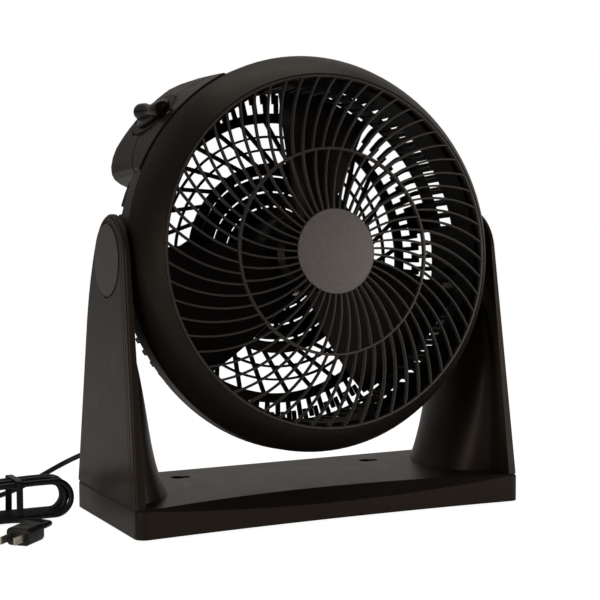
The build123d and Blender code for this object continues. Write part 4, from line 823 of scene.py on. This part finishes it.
class FAN_OT_knob(bpy.types.Operator):
    """Models the speed knob: a tapered grip with a round front on a thin skirt"""
    bl_idname = "fan.knob"
    bl_label = "Speed knob"

    def execute(self, context):
        sizes = context.scene.fan_sizes
        reach, radius = sizes.grip_length, sizes.grip_radius
        deselect()
        bpy.ops.mesh.primitive_cylinder_add(vertices=48, radius=radius, depth=reach, rotation=(0, pi / 2, 0))
        grip = context.object
        bpy.ops.object.transform_apply(location=True, rotation=True, scale=True)
        edit(grip)
        # a waist between the rear lobe and the round front
        for spot in (-0.012, -0.006, 0.0, 0.006, 0.012):
            bpy.ops.mesh.select_all(action="SELECT")
            bpy.ops.mesh.bisect(plane_co=(spot, 0, 0), plane_no=(1, 0, 0))
        for spot, narrow in ((-0.012, 0.97), (-0.006, 0.82), (0.0, 0.72), (0.006, 0.78), (0.012, 0.93)):
            choose(grip, lambda co: abs(co.x - spot) < 0.001)
            bpy.ops.transform.resize(value=(1, narrow, narrow), center_override=(spot, 0, 0))
        choose(grip, lambda co: co.x > reach / 2 - 0.001)
        bpy.ops.transform.translate(value=(0, 0, -0.0002))
        bpy.ops.mesh.bevel(offset=0.0008, segments=3)
        choose(grip, lambda co: co.x < -reach / 2 + 0.0001)
        bpy.ops.mesh.bevel(offset=0.0062, segments=7)
        bpy.ops.mesh.select_all(action="SELECT")
        bpy.ops.transform.translate(value=(0, 0, 0.0056))
        bpy.ops.mesh.select_all(action="SELECT")
        bpy.ops.mesh.bisect(plane_co=(0, 0, 0.0026), plane_no=(0, 0, 1), use_fill=True, clear_inner=True)
        bpy.ops.object.mode_set(mode="OBJECT")
        tidy(grip, 40)
        skirt = turned("skirt", [(17.6, 2.0), (18.0, 2.3), (18.0, 3.3), (17.5, 3.9), (16.6, 4.15), (8.0, 4.6),
                                 (0.05, 4.7)], 96)
        knob = joined("knob", grip, skirt)
        place(knob, DIAL)
        finished(knob, "knob", "knob_plastic", "speed_knob")
        return {"FINISHED"}


class FAN_OT_numbers(bpy.types.Operator):
    """Sets the numbers 0 to 3 round the dial, on the control housing"""
    bl_idname = "fan.numbers"
    bl_label = "Dial numbers"

    def execute(self, context):
        housing = bpy.data.objects["rounded_housing"]
        marks = []
        for number in range(4):
            angle = radians(45 * number)
            above = DIAL @ Vector((0.0298 * cos(angle), 0.0298 * sin(angle), 0.02))
            struck, spot, outward, _ = housing.ray_cast(above, -DIAL_NORMAL)
            if not struck:
                raise RuntimeError("a dial number finds no housing under it")
            deselect()
            bpy.ops.object.text_add()
            mark = context.object
            mark.data.body = str(number)
            mark.data.align_x, mark.data.align_y = "CENTER", "CENTER"
            mark.data.size = context.scene.fan_sizes.number_height
            mark.data.extrude = 0.00012
            bpy.ops.object.convert(target="MESH")
            mark = context.object
            away = (DIAL_ALONG * cos(angle) + DIAL_NORMAL.cross(DIAL_ALONG) * sin(angle))
            away = (away - outward * away.dot(outward)).normalized()
            across = away.cross(outward)
            place(mark, plane_matrix(spot + outward * 0.00004, across, outward))
            marks.append(mark)
        numbers = joined("dial_numbers", *marks)
        finished(numbers, "head", "number_paint")
        return {"FINISHED"}


# Where the cord runs, in millimetres, as in the part's source.
LAY = 3.4
LEAD = [(-166, 100, 46), (-166, 114, 46), (-171, 128.5, 41), (-182, 138.5, 34), (-197.5, 142, 26),
        (-216, 143, 16.5), (-238, 142, 8), (-262, 138.5, LAY), (-294.4, 136, LAY), (-311.2, 123.8, LAY),
        (-317.65, 104, LAY), (-311.2, 84.2, LAY), (-294.4, 72, LAY), (-276, 72, LAY)]
TAIL = [(-278, 37.2, LAY), (-263.5, 37.2, LAY), (-250.8, 30.9, LAY), (-242.3, 19.4, LAY), (-240.2, 5, 5),
        (-244.9, -8.6, 7.5), (-256.3, -20, 7.5)]
TURN_STEP = 5.8
TURN_BENDS = [14.8, 15.6, 15.0, 15.8, 14.6, 15.4]
RIGHT_ENDS = [-221, -226, -223, -230, -227, -224]
LEFT_ENDS = [-300, -296, -301, -295, -299, -296]


def hank_route():
    """The hank's own points: upright turns beside each other, which step forward along their tops."""
    points, y = [], LEAD[-1][1]
    for bend, right, left in zip(TURN_BENDS, RIGHT_ENDS, LEFT_ENDS):
        middle, crown = LAY + bend, LAY + 2 * bend
        pole, side = bend / cos(pi / 8), bend * tan(pi / 8)
        points += [(right - side - 18, y, LAY), (right - side, y, LAY)]
        for step in (-3, -1, 1, 3):
            points.append((right + pole * cos(step * pi / 8), y, middle + pole * sin(step * pi / 8)))
        points += [(right - side, y, crown), (-243, y, crown)]
        y -= TURN_STEP
        points += [(-275, y, crown), (left + side, y, crown)]
        for step in (3, 1, -1, -3):
            points.append((left - pole * cos(step * pi / 8), y, middle + pole * sin(step * pi / 8)))
        points += [(left + side, y, LAY)]
    return points


class FAN_OT_cord(bpy.types.Operator):
    """Lays the power cord from the left arm into its tied hank and on to the plug"""
    bl_idname = "fan.cord"
    bl_label = "Power cord"

    def execute(self, context):
        diameter = context.scene.fan_sizes.cord_diameter
        route = LEAD + hank_route() + TAIL
        curve = bpy.data.curves.new("power_cord", "CURVE")
        curve.dimensions = "3D"
        spline = curve.splines.new("NURBS")
        spline.points.add(len(route) - 1)
        for point, (x, y, z) in zip(spline.points, route):
            point.co = (x * MM, y * MM, z * MM, 1)
        spline.order_u = 3
        spline.use_endpoint_u = True
        curve.resolution_u = 6
        curve.bevel_depth, curve.bevel_resolution = diameter / 2, 4
        curve.use_fill_caps = True
        cord = bpy.data.objects.new("power_cord", curve)
        context.scene.collection.objects.link(cord)
        finished(cord, "stand", "cord_rubber", "cord_lead", "cord_hank", "cord_tail")

        # strain relief with grip rings, in the arm's outlet
        rings = [(7.5, 0.0), (7.5, 1.6), (7.1, 2.0), (5.3, 2.0)]
        for step in range(5):
            height, width = 3.4 + 3.4 * step, 5.2 - 0.32 * step
            rings += [(width, height), (width - 0.15, height + 1.7), (width - 0.95, height + 1.9),
                      (width - 1.0, height + 2.9), (width - 0.35, height + 3.1)]
        rings += [(3.6, 21.4), (3.3, 22.0)]
        relief = turned("strain_relief", [(5.0, -14.0), (5.15, -0.4)] + rings, 40)
        place(relief, plane_matrix(Vector((-166, 78, 46)) * MM, Vector((1, 0, 0)), Vector((0, 1, 0))))
        finished(relief, "stand", "cord_rubber", "cord_gland")

        plug = self.plug()
        strap = self.strap()
        return {"FINISHED"}

    def plug(self):
        """The plug's moulded body: a rounded block with finger grooves, and its ringed relief."""
        deselect()
        bpy.ops.mesh.primitive_cube_add(size=1)
        body = bpy.context.object
        body.scale = (0.022, 0.015, 0.026)
        body.location = (0, 0, 0.025)
        bpy.ops.object.transform_apply(location=True, rotation=True, scale=True)
        edit(body)
        choose_edges(body, 2, 0.02)
        bpy.ops.mesh.bevel(offset=0.0042, segments=5)
        bpy.ops.object.mode_set(mode="OBJECT")
        apply(body, "BEVEL", width=0.0011, segments=3, limit_method="ANGLE", angle_limit=radians(50))
        # finger grooves across both broad sides
        for side in (-1, 1):
            for step in range(4):
                deselect()
                bpy.ops.mesh.primitive_cylinder_add(vertices=16, radius=0.0008, depth=0.012,
                                                    location=(0, side * 0.0077, 0.0185 + 0.0032 * step),
                                                    rotation=(0, pi / 2, 0))
                carve(body, bpy.context.object)
        tidy(body, 30)
        rings = [(3.2, 0.0)]
        for step in range(4):
            height, width = 0.6 + 2.9 * step, 3.5 + 0.42 * step
            rings += [(width, height), (width + 0.1, height + 1.6), (width - 0.65, height + 1.8),
                      (width - 0.6, height + 2.6)]
        rings += [(5.0, 12.5)]
        relief = turned("plug_relief", rings, 32)
        plug = joined("plug", body, relief)
        end = Vector(TAIL[-1]) * MM
        heading = Vector((-1, -1, 0)).normalized()
        place(plug, plane_matrix(end, Vector((0, 0, 1)).cross(heading), heading))
        return finished(plug, "stand", "cord_rubber", "plug_body")

    def strap(self):
        """The tie round the hank, with its buckle end."""
        low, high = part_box("cord_tie")
        middle = (low + high) / 2
        deselect()
        bpy.ops.mesh.primitive_cube_add(size=1)
        strap = bpy.context.object
        strap.scale = high - low
        strap.location = middle
        bpy.ops.object.transform_apply(location=True, rotation=True, scale=True)
        edit(strap)
        choose(strap, lambda co: co.z > middle.z and co.y > middle.y)
        bpy.ops.transform.translate(value=(0, -0.0020, 0))
        bpy.ops.mesh.select_mode(type="FACE")
        bpy.ops.object.mode_set(mode="OBJECT")
        for face in strap.data.polygons:
            face.select = abs(face.normal.x) > 0.9
        bpy.ops.object.mode_set(mode="EDIT")
        bpy.ops.mesh.delete(type="FACE")
        choose_edges(strap, 0, 0.001)
        bpy.ops.mesh.bevel(offset=0.0029, segments=6)
        bpy.ops.mesh.select_all(action="SELECT")
        bpy.ops.mesh.normals_make_consistent(inside=False)
        bpy.ops.object.mode_set(mode="OBJECT")
        apply(strap, "SOLIDIFY", thickness=0.0008, offset=-1)
        apply(strap, "BEVEL", width=0.0002, segments=2, limit_method="ANGLE", angle_limit=radians(50))
        tidy(strap, 40)
        strap.name = "cord_strap"
        return finished(strap, "stand", "cord_rubber", "cord_tie")


class FAN_PT_pieces(bpy.types.Panel):
    """Lists the fan's pieces, sizes and colours"""
    bl_idname = "FAN_PT_pieces"
    bl_label = "Air circulator fan"
    bl_space_type = "VIEW_3D"
    bl_region_type = "UI"
    bl_category = "Fan"

    def draw(self, context):
        for operator in OPERATORS:
            self.layout.operator(operator.bl_idname)
        for group in (context.scene.fan_sizes, context.scene.fan_colours):
            for name in group.bl_rna.properties.keys():
                if name not in ("rna_type", "name"):
                    self.layout.prop(group, name)


OPERATORS = (FAN_OT_stage, FAN_OT_frame_finishes, FAN_OT_cord, FAN_OT_keyholes, FAN_OT_pivots,
             FAN_OT_grille, FAN_OT_vents, FAN_OT_controls, FAN_OT_cap, FAN_OT_knob,
             FAN_OT_numbers)
CLASSES = (FanSizes, FanColours, *OPERATORS, FAN_PT_pieces)


def register():
    for item in CLASSES:
        bpy.utils.register_class(item)
    bpy.types.Scene.fan_sizes = PointerProperty(type=FanSizes)
    bpy.types.Scene.fan_colours = PointerProperty(type=FanColours)


def unregister():
    del bpy.types.Scene.fan_colours
    del bpy.types.Scene.fan_sizes
    for item in reversed(CLASSES):
        bpy.utils.unregister_class(item)


def main():
    register()
    bpy.ops.fan.stage()
    bpy.ops.fan.frame_finishes()
    bpy.ops.fan.cord()
    bpy.ops.fan.keyholes()
    bpy.ops.fan.pivots()
    bpy.ops.fan.grille()
    bpy.ops.fan.vents()
    bpy.ops.fan.controls()
    bpy.ops.fan.cap()
    bpy.ops.fan.knob()
    bpy.ops.fan.numbers()


if __name__ == "__main__":
    main()
